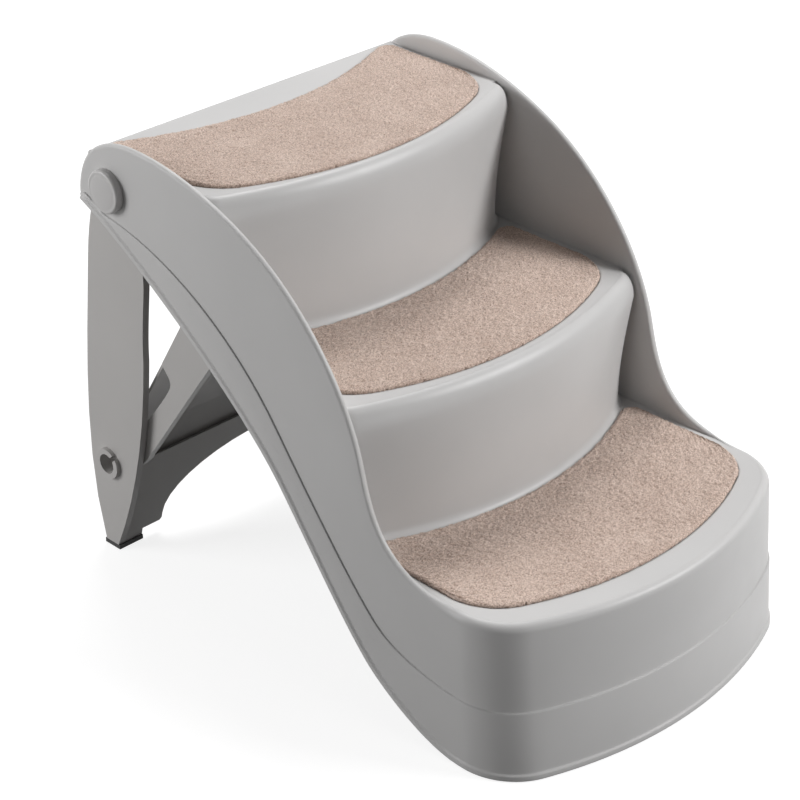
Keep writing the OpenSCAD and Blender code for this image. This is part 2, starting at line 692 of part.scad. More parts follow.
module rear_leg() {
    inner = inset(leg_outline, cheek_flange_t);
    span = 2 * cheek_inner_x + 2 * bond;
    color([0.68, 0.67, 0.67]) placed() difference() {
        union() {
            both_sides() {
                side_plate(leg_outline, cheek_inner_x, cheek_t);
                difference() {
                    side_plate(leg_outline, cheek_outer_x - cheek_flange_w, cheek_flange_w);
                    side_plate(inner, cheek_outer_x - cheek_flange_w - over,
                               cheek_flange_w + 2 * over);
                }
                translate([cheek_inner_x - sole_w, sole_front_y, shoe_h])
                    cube([sole_w + bond, sole_d, cheek_flange_t]);
            }
            difference() {
                side_plate([[panel_rear_y, panel_top], [panel_foot_y, shoe_h],
                            [panel_foot_y + panel_t, shoe_h],
                            [panel_rear_y + panel_t, panel_top]],
                           -span / 2, span);
                translate([0, panel_foot_y + panel_t + over, 0]) rotate([90, 0, 0])
                    linear_extrude(panel_foot_y - panel_rear_y + panel_t + 2 * over)
                        polygon(arch_points);
                both_sides()
                    translate([brace_outer_x - brace_flange_w - notch_clear,
                               panel_rear_y - over, panel_top - notch_h])
                        cube([brace_flange_w + notch_clear + span / 2 - brace_outer_x + over,
                              panel_foot_y - panel_rear_y + panel_t + 2 * over,
                              notch_h + over]);
            }
            side_plate([[upper_panel_y + panel_t, upper_panel_z],
                        [upper_panel_y, upper_panel_z + upper_panel_h],
                        [upper_panel_y - panel_t, upper_panel_z + upper_panel_h],
                        [upper_panel_y, upper_panel_z]], -span / 2, span);
        }
        both_sides() {
            turned(cheek_inner_x - over, pivot_y, pivot_z)
                cylinder(h = cheek_t + 2 * over, r = shank_dia / 2 + shank_clear);
            turned(cheek_inner_x - over, hinge_y, hinge_z)
                cylinder(h = cheek_t + 2 * over, r = hinge_bore_r);
        }
    }
}

pad_over = 2;
module foot_pad() {
    color([0.12, 0.12, 0.12]) placed()
        translate([cheek_inner_x - sole_w, sole_front_y - pad_over, 0])
            cube([sole_w + cheek_t, sole_d + 2 * pad_over, shoe_h]);
}

// How the latch pin moves through the brace while the leg folds by t degrees
fold_ratio = 0.7777;
function turn_about_x(p, t) = [p[0] * cos(t) + p[1] * sin(t), p[1] * cos(t) - p[0] * sin(t)];
function pin_in_brace(t) =
    let (hinge = [pivot_y, pivot_z]
             + turn_about_x([hinge_y - pivot_y, hinge_z - pivot_z], t),
         p = turn_about_x([latch_y, latch_z] - hinge, -t * (1 + fold_ratio)))
    [-p[0] * sin(brace_lean) + p[1] * cos(brace_lean),
     p[0] * cos(brace_lean) + p[1] * sin(brace_lean)];
slot_r = latch_dia / 2 + latch_clear;
slot_turns = [0 : 1 : 7];
slot_flare = 0.25;
pin_path = [for (t = slot_turns) pin_in_brace(t)];
function path_side(m, side) =
    let (d = pin_path[min(m + 1, len(pin_path) - 1)] - pin_path[max(m - 1, 0)], l = norm(d))
    pin_path[m] + side * (slot_r + slot_flare * m) * [-d[1], d[0]] / l;
slot_outline = in_brace(concat(
    [for (m = [0 : len(pin_path) - 1]) path_side(m, 1)],
    [for (m = [len(pin_path) - 1 : -1 : 0]) path_side(m, -1)]));

hook_wall = 12;
brace_clear = 1.7;
brace_top_u = seat_u + hook_wall;
brace_front_v = -latch_offset - hook_wall;
brace_web_v = 6;
brace_low_r = 19;
brace_outer_x = cheek_outer_x - cheek_flange_w - brace_clear;
brace_flange_w = 8;
brace_corner_u = 23;
brace_corner_v = 21;
// The cheek's free edges as shares: along from the hinge to the top, across to the front
arm_rear_shares = [[0.05, -0.36], [0.14, -0.06], [0.24, 0.16], [0.34, 0.245],
                   [0.42, 0.3], [0.5, 0.34], [0.54, 0.33],
                   [0.585, 0.32], [0.575, -0.03], [0.597, -0.1]];
arm_front_shares = [[0.85, 0.93], [0.7, 0.84], [0.4, 0.75], [0.15, 0.64],
                    [0.1, 0.6], [0.05, 0.48], [0.02, 0.4]];
// Where the web turns forward under the hinge's line, as the same shares
web_bend_shares = [[0.3, -0.12], [0.17, 0.02], [0.03, 0.38]];
function brace_curve(shares) =
    chain([for (p = shares) [p[0] * brace_top_u, p[1] * brace_front_v]], edge_steps);
// The brace's cheek as [along, across], from the boss up the web side and down the front
brace_cheek_points = concat(
    [for (a = [270 : -15 : 90]) [brace_low_r * cos(a), brace_low_r * sin(a)]],
    brace_curve(arm_rear_shares),
    [[brace_top_u, brace_web_v], [brace_top_u, brace_front_v + brace_corner_v],
     [brace_top_u - brace_corner_u, brace_front_v]],
    brace_curve(arm_front_shares));
web_line = concat([[brace_top_u, brace_web_v]],
                  [for (p = web_bend_shares) [p[0] * brace_top_u, p[1] * brace_front_v]]);
hook_low_u = seat_u - 4 * hook_wall;
hook_root = 20;
hook_points = [[brace_top_u, brace_web_v], [brace_top_u, brace_front_v + brace_corner_v],
               [brace_top_u - brace_corner_u, brace_front_v], [hook_low_u, brace_front_v],
               [hook_low_u - hook_root, brace_web_v - bond]];
brace_rib_t = 3;
brace_rib_h = 12;
brace_rib_x = 60;
brace_rib_u = 95;

module brace() {
    outline = in_brace(brace_cheek_points);
    inner = inset(outline, cheek_flange_t);
    color([0.67, 0.66, 0.66]) placed() difference() {
        union() {
            both_sides() {
                side_plate(outline, brace_outer_x - brace_cheek_t, brace_cheek_t);
                difference() {
                    side_plate(outline, brace_outer_x - brace_flange_w, brace_flange_w);
                    side_plate(inner, brace_outer_x - brace_flange_w - over,
                               brace_flange_w + 2 * over);
                }
                difference() {
                    side_plate(in_brace(hook_points), hook_x - hook_t / 2, hook_t);
                    side_plate(slot_outline, hook_x - hook_t / 2 - over, hook_t + 2 * over);
                    turned(hook_x - hook_t / 2 - over, latch_y, latch_z)
                        cylinder(h = hook_t + 2 * over, r = slot_r);
                }
                turned(brace_outer_x - brace_cheek_t, hinge_y, hinge_z)
                    cylinder(h = cheek_outer_x + boss_proud - brace_outer_x + brace_cheek_t,
                             r = boss_r);
            }
            side_plate(in_brace(concat(
                           web_line,
                           [for (m = [len(web_line) - 1 : -1 : 0]) web_line[m] - [0, web_t]])),
                       -brace_outer_x + bond, 2 * brace_outer_x - 2 * bond);
            for (x = [-brace_rib_x, 0, brace_rib_x])
                side_plate(in_brace([[brace_rib_u, brace_web_v - bond],
                                     [brace_top_u - brace_low_r, brace_web_v - bond],
                                     [brace_top_u - brace_low_r, brace_web_v - brace_rib_h],
                                     [brace_rib_u, brace_web_v - brace_rib_h]]),
                           x - brace_rib_t / 2, brace_rib_t);
        }
        both_sides() {
            turned(brace_outer_x - brace_flange_w - over, hinge_y, hinge_z)
                cylinder(h = boss_r + brace_flange_w + 2 * over, d = boss_hole_dia);
            turned(brace_outer_x + side_clear, hinge_y, hinge_z) rotate([0, 0, 45])
                translate([0, -boss_slot / 2, 0])
                    cube([boss_dia, boss_slot, boss_dia]);
        }
    }
}

step_shell();
carpet(0);  // carpet_lower
carpet(1);  // carpet_middle
carpet(2);  // carpet_upper
hook_tape(0);  // hook_tape_lower
hook_tape(1);  // hook_tape_middle
hook_tape(2);  // hook_tape_upper
mirror([1, 0, 0]) pivot_pin();  // pivot_pin_left
pivot_pin();  // pivot_pin_right
mirror([1, 0, 0]) pivot_washer();  // pivot_washer_left
pivot_washer();  // pivot_washer_right
both_sides() pivot_screw();  // pivot_screws
mirror([1, 0, 0]) front_pad();  // front_pad_left
front_pad();  // front_pad_right
rear_leg();
mirror([1, 0, 0]) foot_pad();  // foot_pad_left
foot_pad();  // foot_pad_right
brace();
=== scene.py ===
"""Folding pet stairs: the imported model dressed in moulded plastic, cut pile and steel."""

import logging
import random
from contextlib import contextmanager
from dataclasses import dataclass, field
from enum import Enum
from math import asin, copysign, cos, degrees, pi, radians, sin, sqrt
from typing import Iterable, Iterator, Sequence

import bpy
from mathutils import Matrix, Vector

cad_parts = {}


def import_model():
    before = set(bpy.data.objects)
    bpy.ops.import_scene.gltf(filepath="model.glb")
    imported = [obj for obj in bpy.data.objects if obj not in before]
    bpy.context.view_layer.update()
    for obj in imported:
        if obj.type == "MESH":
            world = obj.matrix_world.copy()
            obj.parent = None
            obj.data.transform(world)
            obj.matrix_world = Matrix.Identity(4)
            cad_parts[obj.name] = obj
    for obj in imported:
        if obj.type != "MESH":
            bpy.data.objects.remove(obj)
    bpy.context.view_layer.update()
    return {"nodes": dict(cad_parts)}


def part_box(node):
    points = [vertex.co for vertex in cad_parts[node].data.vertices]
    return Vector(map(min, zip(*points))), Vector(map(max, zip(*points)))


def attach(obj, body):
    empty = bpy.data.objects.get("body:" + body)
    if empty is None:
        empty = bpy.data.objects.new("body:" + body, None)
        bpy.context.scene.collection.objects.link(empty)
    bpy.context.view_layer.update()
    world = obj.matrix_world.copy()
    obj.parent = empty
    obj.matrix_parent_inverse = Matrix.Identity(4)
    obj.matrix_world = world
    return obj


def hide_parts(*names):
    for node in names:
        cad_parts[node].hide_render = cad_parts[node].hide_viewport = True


log = logging.getLogger("pet_stairs")

MM = 0.001
SIDES = (-1, 1)
CARPET_PLACES = ("lower", "middle", "upper")
Point2 = tuple[float, float]
Point3 = tuple[float, float, float]
Points2 = Sequence[Point2]
Path2 = list[Point2]
Path3 = list[Point3]
Colour = tuple[float, float, float]
Object = bpy.types.Object
Socket = bpy.types.NodeSocket
Material = bpy.types.Material


class Body(str, Enum):
    """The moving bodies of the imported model."""

    SHELL = "shell"
    LEG = "leg"
    BRACE = "brace"


class Side(Enum):
    """The two sides of the stairs, seen from the front."""

    LEFT = -1
    RIGHT = 1


# Plan outlines and profiles


def mix(a: float, b: float, t: float) -> float:
    """Value at share t of the way from a to b."""
    return a + (b - a) * t


def ease(t: float) -> float:
    """Smooth step of t, held between 0 and 1."""
    t = min(1.0, max(0.0, t))
    return t * t * (3 - 2 * t)


def lookup(x: float, points: Points2) -> float:
    """Reads a rising polyline.

    Args:
        x: Where to read it.
        points: The polyline's points, x rising.

    Returns:
        The line's height at x, held at its ends.
    """
    if x <= points[0][0]:
        return points[0][1]
    for (x0, y0), (x1, y1) in zip(points, points[1:]):
        if x <= x1:
            return y0 if x1 == x0 else mix(y0, y1, (x - x0) / (x1 - x0))
    return points[-1][1]


def bezier(p: Points2, t: float) -> Point2:
    """Point at t on the cubic curve with the four control points p."""
    u = 1 - t
    w = (u**3, 3 * t * u * u, 3 * t * t * u, t**3)
    return (sum(k * q[0] for k, q in zip(w, p)), sum(k * q[1] for k, q in zip(w, p)))


def chain(points: Points2, steps: int) -> Path2:
    """Points along curves that share their ends.

    Args:
        points: 3 n + 1 control points.
        steps: Steps along each curve.

    Returns:
        The points, without doubles.
    """
    out = [points[0]]
    for k in range(0, len(points) - 3, 3):
        out += [bezier(points[k : k + 4], s / steps) for s in range(1, steps + 1)]
    return out


def in_box(shares: Iterable[Point2], low: Point2, high: Point2) -> Path2:
    """Shares of a box turned into points between its corners low and high."""
    return [(mix(low[0], high[0], s), mix(low[1], high[1], t)) for s, t in shares]


@dataclass(frozen=True)
class Bow:
    """An outline seen from above: a front arc, then a corner arc that ends on the side, in mm."""

    front_r: float
    corner_r: float
    side_x: float
    front_y: float

    @property
    def center_y(self) -> float:
        """Depth of the front arc's centre."""
        return self.front_y + self.front_r

    @property
    def corner_x(self) -> float:
        """Half distance between the corner arcs' centres."""
        return self.side_x - self.corner_r

    @property
    def corner_y(self) -> float:
        """Depth at which the corner arc ends on the side."""
        return self.center_y - sqrt((self.front_r - self.corner_r) ** 2 - self.corner_x**2)

    @property
    def angle(self) -> float:
        """Turn in degrees at which the front arc passes into the corner arc."""
        return degrees(asin(self.corner_x / (self.front_r - self.corner_r)))

    def grown(self, n: float) -> "Bow":
        """The same outline moved out by n about the same centres."""
        return Bow(self.front_r + n, self.corner_r + n, self.side_x + n, self.front_y - n)

    def point(self, turn: float) -> Point2:
        """Point whose outward normal is turned by that many degrees from straight ahead."""
        side, a = (-1 if turn < 0 else 1), radians(abs(turn))
        if abs(turn) < self.angle:
            x, y = self.front_r * sin(a), self.center_y - self.front_r * cos(a)
        else:
            x = self.corner_x + self.corner_r * sin(a)
            y = self.corner_y - self.corner_r * cos(a)
        return side * x, y

    def turns(self, front_step: float, corner_step: float) -> list[float]:
        """Turns from -90 to 90 degrees, fine on the long front arc and coarser in the corners."""
        n = max(2, round(2 * self.angle / front_step))
        m = max(2, round((90 - self.angle) / corner_step))
        front = [-self.angle + 2 * self.angle * k / n for k in range(n + 1)]
        corner = [self.angle + (90 - self.angle) * k / m for k in range(1, m + 1)]
        return [-a for a in reversed(corner)] + front + corner

    def front_at(self, x: float) -> float:
        """Depth of the outline's front at x."""
        x = abs(x)
        limit = self.front_r * sin(radians(self.angle))
        if x <= limit:
            return self.center_y - sqrt(self.front_r**2 - x * x)
        return self.corner_y - sqrt(max(0.0, self.corner_r**2 - (x - self.corner_x) ** 2))


@dataclass(frozen=True)
class StairSizes:
    """The sizes that the pieces share, in mm, as in the part's source."""

    half_w: float = 210.0
    tread_tops: tuple[float, float, float] = (168.0, 316.0, 470.0)
    nosing_ys: tuple[float, float, float] = (8.0, 212.0, 392.0)
    nosing_ds: tuple[float, float, float] = (7.0, 13.2, 13.2)
    front_nosing_h: float = 8.0
    nosing_h: float = 24.0
    foot_d: float = 4.8
    fillet_d: float = 5.6
    fillet_h: float = 10.0
    draft: float = 2.0
    skin: float = 4.0
    nosing_bow_r: float = 500.0
    nosing_corner_r: float = 25.0
    foot_bow_r: float = 392.0
    foot_corner_r: float = 58.0
    tread_bow_r: float = 375.0
    tread_corner_r: float = 67.0
    rim_bow_r: float = 450.0
    rim_corner_r: float = 66.0
    wall_front_y: float = 115.7
    low_front_y: float = 103.1
    lip_w: float = 3.0
    lip_h: float = 7.5
    wall_top_t: float = 6.5
    wall_low_t: float = 3.5
    wall_rise: float = 21.0
    wall_overhang: float = 12.5
    top_run: float = 226.0
    line_h: float = 74.0
    line_step: float = 1.4
    rim_clear: float = 1.0
    wall_cover: float = 0.5
    blend_l: float = 45.0
    pivot_z: float = 437.0
    pivot_to_end: float = 46.0
    tab_drop: float = 22.0
    recess_d: float = 1.5
    recess_gap: float = 1.2
    carpet_w: float = 388.0
    carpet_t: float = 4.5
    lands: tuple[float, float, float] = (35.5, 22.0, 15.5)
    back_gap: float = 2.0
    upper_carpet_d: float = 157.0
    carpet_bow_r: float = 375.0
    carpet_back_r: float = 398.8
    carpet_corner_r: float = 62.0
    carpet_rear_corner_r: float = 11.0
    tape_t: float = 1.0

    @property
    def shell_rear_y(self) -> float:
        """Depth of the top step's rear edge."""
        return self.nosing_ys[2] + self.top_run

    @property
    def wall_rear_y(self) -> float:
        """Depth of the walls' rear ends."""
        return self.shell_rear_y + self.wall_overhang

    @property
    def wall_top_z(self) -> float:
        """Height of the walls' highest point."""
        return self.tread_tops[2] + self.wall_rise

    @property
    def pivot_y(self) -> float:
        """Depth of the leg's pivot."""
        return self.wall_rear_y - self.pivot_to_end

    @property
    def riser_side_x(self) -> float:
        """Half width of the risers and treads, inside the walls."""
        return self.half_w - self.wall_low_t

    @property
    def rim(self) -> Bow:
        """Outline of the rim."""
        return Bow(self.rim_bow_r, self.rim_corner_r, self.half_w, self.lip_w)

    def nosing(self, k: int) -> Bow:
        """Outline of nosing k, counted from 0 at the bottom."""
        if k == 0:
            return Bow(self.tread_bow_r, self.tread_corner_r, self.half_w, self.nosing_ys[0])
        side_x = self.half_w - self.wall_cover
        return Bow(self.nosing_bow_r, self.nosing_corner_r, side_x, self.nosing_ys[k])

    def foot(self, k: int) -> Bow:
        """Outline of riser k's foot, counted from 1 for the second step."""
        side_x = self.half_w - self.wall_cover
        return Bow(self.foot_bow_r, self.foot_corner_r, side_x, self.nosing_ys[k])

    def behind_riser(self, k: int, x: float) -> float:
        """Depth in the middle of riser k's thickness at x, halfway up."""
        if k == 0:
            return self.nosing(0).front_at(x) + self.nosing_ds[0]
        return mix(self.nosing(k).front_at(x), self.foot(k).front_at(x), 0.7) + self.skin / 2

    def carpet_front(self, k: int) -> float:
        """Depth of carpet k's front on the centre line."""
        return self.nosing_ys[k] + self.lands[k]

    def carpet_depth(self, k: int) -> float:
        """Depth of carpet k on the centre line, up to just before the next riser."""
        if k == 2:
            return self.upper_carpet_d
        foot = self.nosing_ys[k + 1] - self.draft - self.foot_d
        return foot - self.back_gap - self.carpet_front(k)


class Place:
    """Turns the sizes' millimetres into the frame's metres."""

    half_depth: float = 0.0

    @classmethod
    def settle(cls) -> None:
        """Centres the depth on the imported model's box."""
        cls.half_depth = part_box("rear_leg")[1].y / MM

    @classmethod
    def at(cls, p: Point3) -> Vector:
        """A point in mm as a place in the frame."""
        return Vector((p[0] * MM, (p[1] - cls.half_depth) * MM, p[2] * MM))


# Mesh helpers


def linked(name: str, data: bpy.types.ID) -> Object:
    """Puts a new object of that data into the scene."""
    obj = bpy.data.objects.new(name, data)
    bpy.context.scene.collection.objects.link(obj)
    return obj


def mesh_object(name: str, points: Sequence[Point3], faces: Sequence[Sequence[int]]) -> Object:
    """Makes a mesh object from points in mm.

    Args:
        name: The object's name.
        points: The vertices in mm.
        faces: The faces as vertex numbers.

    Returns:
        The linked object, with its normals turned outwards.
    """
    mesh = bpy.data.meshes.new(name)
    mesh.from_pydata([Place.at(p) for p in points], [], faces)
    mesh.update()
    obj = linked(name, mesh)
    outward(obj)
    return obj


def select_only(*objs: Object) -> None:
    """Selects these objects alone and makes the first one active."""
    if bpy.context.object and bpy.context.object.mode != "OBJECT":
        bpy.ops.object.mode_set(mode="OBJECT")
    bpy.ops.object.select_all(action="DESELECT")
    for obj in objs:
        obj.select_set(True)
    bpy.context.view_layer.objects.active = objs[0]


@contextmanager
def editing(obj: Object) -> Iterator[None]:
    """Edit mode on one object, with its whole mesh selected."""
    select_only(obj)
    bpy.ops.object.mode_set(mode="EDIT")
    bpy.ops.mesh.select_all(action="SELECT")
    yield
    bpy.ops.object.mode_set(mode="OBJECT")


def outward(obj: Object) -> None:
    """Merges an object's doubles and turns its faces outwards."""
    with editing(obj):
        bpy.ops.mesh.remove_doubles(threshold=1e-6)
        bpy.ops.mesh.normals_make_consistent(inside=False)


def loft(name: str, rings: Sequence[Sequence[Point3]]) -> Object:
    """Bridges closed rings of equal length into one closed solid.

    Args:
        name: The object's name.
        rings: The rings' points in mm, in order.

    Returns:
        The solid, capped at both ends.
    """
    n = len(rings[0])
    points = [p for ring in rings for p in ring]
    last = (len(rings) - 1) * n
    faces: list[list[int]] = [list(range(n)), [last + m for m in range(n - 1, -1, -1)]]
    for k in range(len(rings) - 1):
        for m in range(n):
            a, b = k * n + m, k * n + (m + 1) % n
            faces.append([a, a + n, b + n, b])
    return mesh_object(name, points, faces)


def prism(name: str, outline: Sequence[Point3], along: Point3) -> Object:
    """Extrudes a flat outline along a vector, both in mm."""
    top = [tuple(a + b for a, b in zip(p, along)) for p in outline]
    return loft(name, [list(outline), top])


def side_prism(name: str, outline: Points2, x: float, t: float) -> Object:
    """Extrudes an outline in depth and height from the plane x, by t along X."""
    return prism(name, [(x, y, z) for y, z in outline], (t, 0.0, 0.0))


def flat_prism(name: str, outline: Points2, z: float, t: float) -> Object:
    """Extrudes an outline in plan from the height z, by t upwards."""
    return prism(name, [(x, y, z) for x, y in outline], (0.0, 0.0, t))


def bar(name: str, low: Point3, high: Point3) -> Object:
    """A block between two corners in mm."""
    outline = [(low[0], low[1]), (high[0], low[1]), (high[0], high[1]), (low[0], high[1])]
    return flat_prism(name, outline, low[2], high[2] - low[2])


def rod(name: str, center: Point3, r: float, h: float, sides: int = 96) -> Object:
    """A round bar along X.

    Args:
        name: The object's name.
        center: The middle of its end with the lower x, in mm.
        r: Its radius in mm.
        h: Its length in mm.
        sides: How many sides it has.

    Returns:
        The object, with its place in its mesh.
    """
    bpy.ops.object.select_all(action="DESELECT")
    middle = Place.at((center[0] + h / 2, center[1], center[2]))
    bpy.ops.mesh.primitive_cylinder_add(
        vertices=sides, radius=r * MM, depth=h * MM, location=middle, rotation=(0, pi / 2, 0)
    )
    obj = bpy.context.object
    obj.name = name
    bpy.ops.object.transform_apply(location=True, rotation=True, scale=True)
    return obj


def apply_modifier(obj: Object, kind: str, **values: object) -> None:
    """Adds a modifier to an object and applies it."""
    select_only(obj)
    modifier = obj.modifiers.new(kind.lower(), kind)
    for key, value in values.items():
        setattr(modifier, key, value)
    bpy.ops.object.modifier_apply(modifier=modifier.name)


def cut(obj: Object, *tools: Object) -> None:
    """Cuts the tools' shapes out of an object and deletes the tools."""
    for tool in tools:
        apply_modifier(obj, "BOOLEAN", operation="DIFFERENCE", solver="EXACT", object=tool)
        bpy.data.objects.remove(tool, do_unlink=True)


def trim_sides(obj: Object, x: float) -> None:
    """Cuts an object off flat at plus and minus x mm and closes the cuts."""
    for sign in SIDES:
        plane = {"plane_co": (sign * x * MM, 0, 0), "plane_no": (sign, 0, 0)}
        with editing(obj):
            bpy.ops.mesh.bisect(**plane, use_fill=True, clear_outer=True)


def copied(obj: Object, name: str) -> Object:
    """A linked copy of an object, with a mesh of its own."""
    copy = obj.copy()
    copy.data = obj.data.copy()
    copy.name = name
    bpy.context.scene.collection.objects.link(copy)
    return copy


def mirrored(obj: Object, name: str) -> Object:
    """A copy of an object on the other side of the stairs."""
    copy = copied(obj, name)
    copy.data.transform(Matrix.Scale(-1, 4, Vector((1, 0, 0))))
    outward(copy)
    return copy


def joined(name: str, parts: Sequence[Object]) -> Object:
    """Joins parts into one object of that name."""
    select_only(*parts)
    bpy.ops.object.join()
    obj = bpy.context.object
    obj.name = obj.data.name = name
    return obj


def smooth(obj: Object, degrees: float = 35.0) -> None:
    """Shades an object smooth, with edges above that angle kept sharp."""
    select_only(obj)
    bpy.ops.object.shade_smooth_by_angle(angle=radians(degrees))


def cad_copy(node: str, name: str) -> Object:
    """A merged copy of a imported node, with its flat faces made whole again."""
    copy = copied(bpy.data.objects[node], name)
    copy.parent = None
    copy.data.materials.clear()
    with editing(copy):
        bpy.ops.mesh.remove_doubles(threshold=1e-5)
        bpy.ops.mesh.dissolve_limited(angle_limit=radians(0.5))
        bpy.ops.mesh.normals_make_consistent(inside=False)
    return copy


# The shell


TOP_EDGE_SHARES: tuple[Point2, ...] = (
    (0, 0), (0.175, 0), (0.208, 0.146), (0.235, 0.322),
    (0.267, 0.523), (0.379, 0.771), (0.554, 0.895),
    (0.641, 0.957), (0.738, 1), (0.84, 1),
    (0.927, 1), (1, 0.935), (1, 0.793),
)
LOW_EDGE_SHARES: tuple[Point2, ...] = (
    (0, 0), (0.07, 0), (0.156, 0.06), (0.21, 0.112),
    (0.271, 0.168), (0.376, 0.358), (0.457, 0.488),
    (0.562, 0.657), (0.852, 0.915), (1, 1),
)
LINE_SHARES: tuple[Point2, ...] = (
    (0.061, -1), (0.156, 0.2), (0.204, 0.245),
    (0.261, 0.299), (0.385, 0.5), (0.46, 0.624),
    (0.56, 0.802), (0.757, 0.983), (1, 0.99),
)


@dataclass
class StepShell:
    """The one-piece moulding: skirt, side walls, bowed risers, treads, ribs and seats."""

    sizes: StairSizes = field(default_factory=StairSizes)
    edge_steps: int = 22
    front_step: float = 2.0
    corner_step: float = 4.0
    round_steps: int = 10
    fillet_steps: int = 12
    face_shares: tuple[float, ...] = (0.08, 0.16, 0.25, 0.35, 0.45, 0.56, 0.68, 0.8, 0.9)
    slope_run: float = 4.0
    slope_cap: float = 2.2
    rib_t: float = 3.0
    rib_h: float = 13.0
    rib_spread: float = 92.0
    rear_edge_r: float = 6.0
    rear_flange_h: float = 20.0
    flange_half_w: float = 190.2
    hook_x: float = 158.0
    lug_gap: float = 10.0
    lug_t: float = 3.0
    latch_r: float = 4.5
    latch_back: float = 58.0
    boss_ring_r: float = 20.0
    bore_r: float = 8.05
    hair: float = 0.05
    overlap: float = 0.3
    edge_soft: float = 0.5
    ledge: float = 0.15
    ledge_in: float = 0.1
    lip_flat: float = 0.8
    ring_step: float = 1.5
    shelf_turn: float = 14.0
    shelf_low: Point3 = (-25, 0, 3)
    shelf_high: Point3 = (25, 29.5, 6)
    shelf_bite: float = 2.0
    lug_wall: float = 4.0
    latch_bite: float = 2.0
    latch_sides: int = 48
    boss_ring_in: float = 9.8
    boss_ring_t: float = 6.3
    flange_soft: float = 1.0
    recess_tool_h: float = 10.0
    lip_parts: int = 5
    round_parts: int = 4
    line_parts: int = 3
    side_turn: float = 90.0

    def __post_init__(self) -> None:
        """Lays out the walls' edges and the styling line."""
        s = self.sizes
        self.low_rear = (s.wall_rear_y - s.lip_w, s.pivot_z - s.tab_drop)
        low, top = (s.low_front_y, s.rim_clear), (s.wall_front_y, s.tread_tops[0])
        share = s.line_h / (self.low_rear[1] - low[1])
        line_shares = [(0.0, share)] + [(a, share if b < 0 else b) for a, b in LINE_SHARES]
        high = (s.wall_rear_y, s.wall_top_z)
        self.top_edge = chain(in_box(TOP_EDGE_SHARES, top, high), self.edge_steps)
        self.low_edge = chain(in_box(LOW_EDGE_SHARES, low, self.low_rear), self.edge_steps)
        self.line_edge = chain(in_box(line_shares, low, self.low_rear), self.edge_steps)

    def stretch(self, edge: Points2, y: float) -> float:
        """How much longer an edge is than its run at depth y."""
        d = self.slope_run
        slope = (lookup(y + d, edge) - lookup(y - d, edge)) / (2 * d)
        return min(self.slope_cap, sqrt(1 + slope * slope))

    def outer_section(
        self, low: float, high: float, y: float, top_y: float, side: bool, f: float
    ) -> Path2:
        """A column's outer face.

        Args:
            low: Height of its foot.
            high: Height of its top.
            y: Depth of its foot.
            top_y: Depth of its top.
            side: Whether it stands on a side wall.
            f: How much it belongs to the front, from 0 to 1.

        Returns:
            Depth inwards and height of each point, from the foot over the top.
        """
        s, h = self.sizes, high - low
        k = self.stretch(self.low_edge, y) if side else 1.0
        kt = self.stretch(self.top_edge, top_y) if side else 1.0
        lip = min(s.lip_h * k, h / self.lip_parts)
        line = low + s.line_h
        if side:
            guess = (lookup(y, self.line_edge) - low) / h
            line = min(lookup(mix(y, top_y, guess), self.line_edge), high - h / self.line_parts)
            line = max(low + lip + s.line_step * 2, line)
        a = mix(s.wall_top_t / 2, s.nosing_ds[0], f)
        b = mix(min(s.wall_top_t / 2 * kt, h / self.round_parts), s.front_nosing_h, f)
        soft, flat = self.edge_soft, low + lip * self.lip_flat
        points = [(-s.lip_w + soft, low), (-s.lip_w, low + soft), (-s.lip_w, flat - soft)]
        points += [(-s.lip_w + soft, flat), (-s.line_step, low + lip), (-s.line_step, line - soft)]
        points += [(-s.line_step + self.ledge_in, line), (0.0, line + self.ledge)]
        points += [(0.0, mix(line + self.ledge, high - b, t)) for t in (0.33, 0.66, 1.0)]
        for k_turn in range(1, self.round_steps + 1):
            t = radians(90 * k_turn / self.round_steps)
            points.append((a * (1 - cos(t)), high - b * (1 - sin(t))))
        return points

    def inner_section(self, low: float, high: float, top_y: float, side: bool, f: float) -> Path2:
        """A column's inner face, from the top down to the foot."""
        s, h = self.sizes, high - low
        kt = self.stretch(self.top_edge, top_y) if side else 1.0
        r, nose = s.wall_top_t / 2, s.nosing_ds[0]
        b = min(r * kt, h / self.round_parts)
        turns = map(radians, (80, 65, 50, 35, 20, 8))
        wall = [(r * (1 + cos(t)), high - b * (1 - sin(t))) for t in turns]
        wall.append((s.wall_top_t, high - b))
        for t in (0.1, 0.25, 0.5, 0.75, 1):
            wall.append((mix(s.wall_top_t, s.wall_low_t, t), mix(high - b, low, t)))
        drop, tongue = s.front_nosing_h - s.skin, nose + self.overlap
        under = high - s.front_nosing_h
        front = [(tongue, high - self.hair), (tongue, high - s.skin + self.hair)]
        for a in map(radians, (90, 72, 54, 36, 18, 0)):
            front.append((nose - (nose - s.wall_low_t) * cos(a), under + drop * sin(a)))
        front += [(s.wall_low_t, mix(under, low, t)) for t in (0.25, 0.5, 0.75, 1)]
        return [(mix(p[0], q[0], f), mix(p[1], q[1], f)) for p, q in zip(wall, front)]

    def column(
        self, foot: Point2, top: Point2, turn: float, low: float, high: float, f: float
    ) -> Path3:
        """One closed column of the skirt or a wall.

        Args:
            foot: Place of its foot in plan.
            top: Place of its top in plan.
            turn: Its outward normal's turn in degrees.
            low: Height of its foot.
            high: Height of its top.
            f: How much it belongs to the front.

        Returns:
            The column's points in mm.
        """
        a = radians(turn)
        dx, dy = sin(a), -cos(a)
        side = abs(turn) >= self.side_turn
        section = self.outer_section(low, high, foot[1], top[1], side, f)
        section += self.inner_section(low, high, top[1], side, f)
        out = []
        for inwards, z in section:
            t = (z - low) / (high - low)
            x, y = mix(foot[0], top[0], t), mix(foot[1], top[1], t)
            out.append((x - inwards * dx, y - inwards * dy, z))
        return out

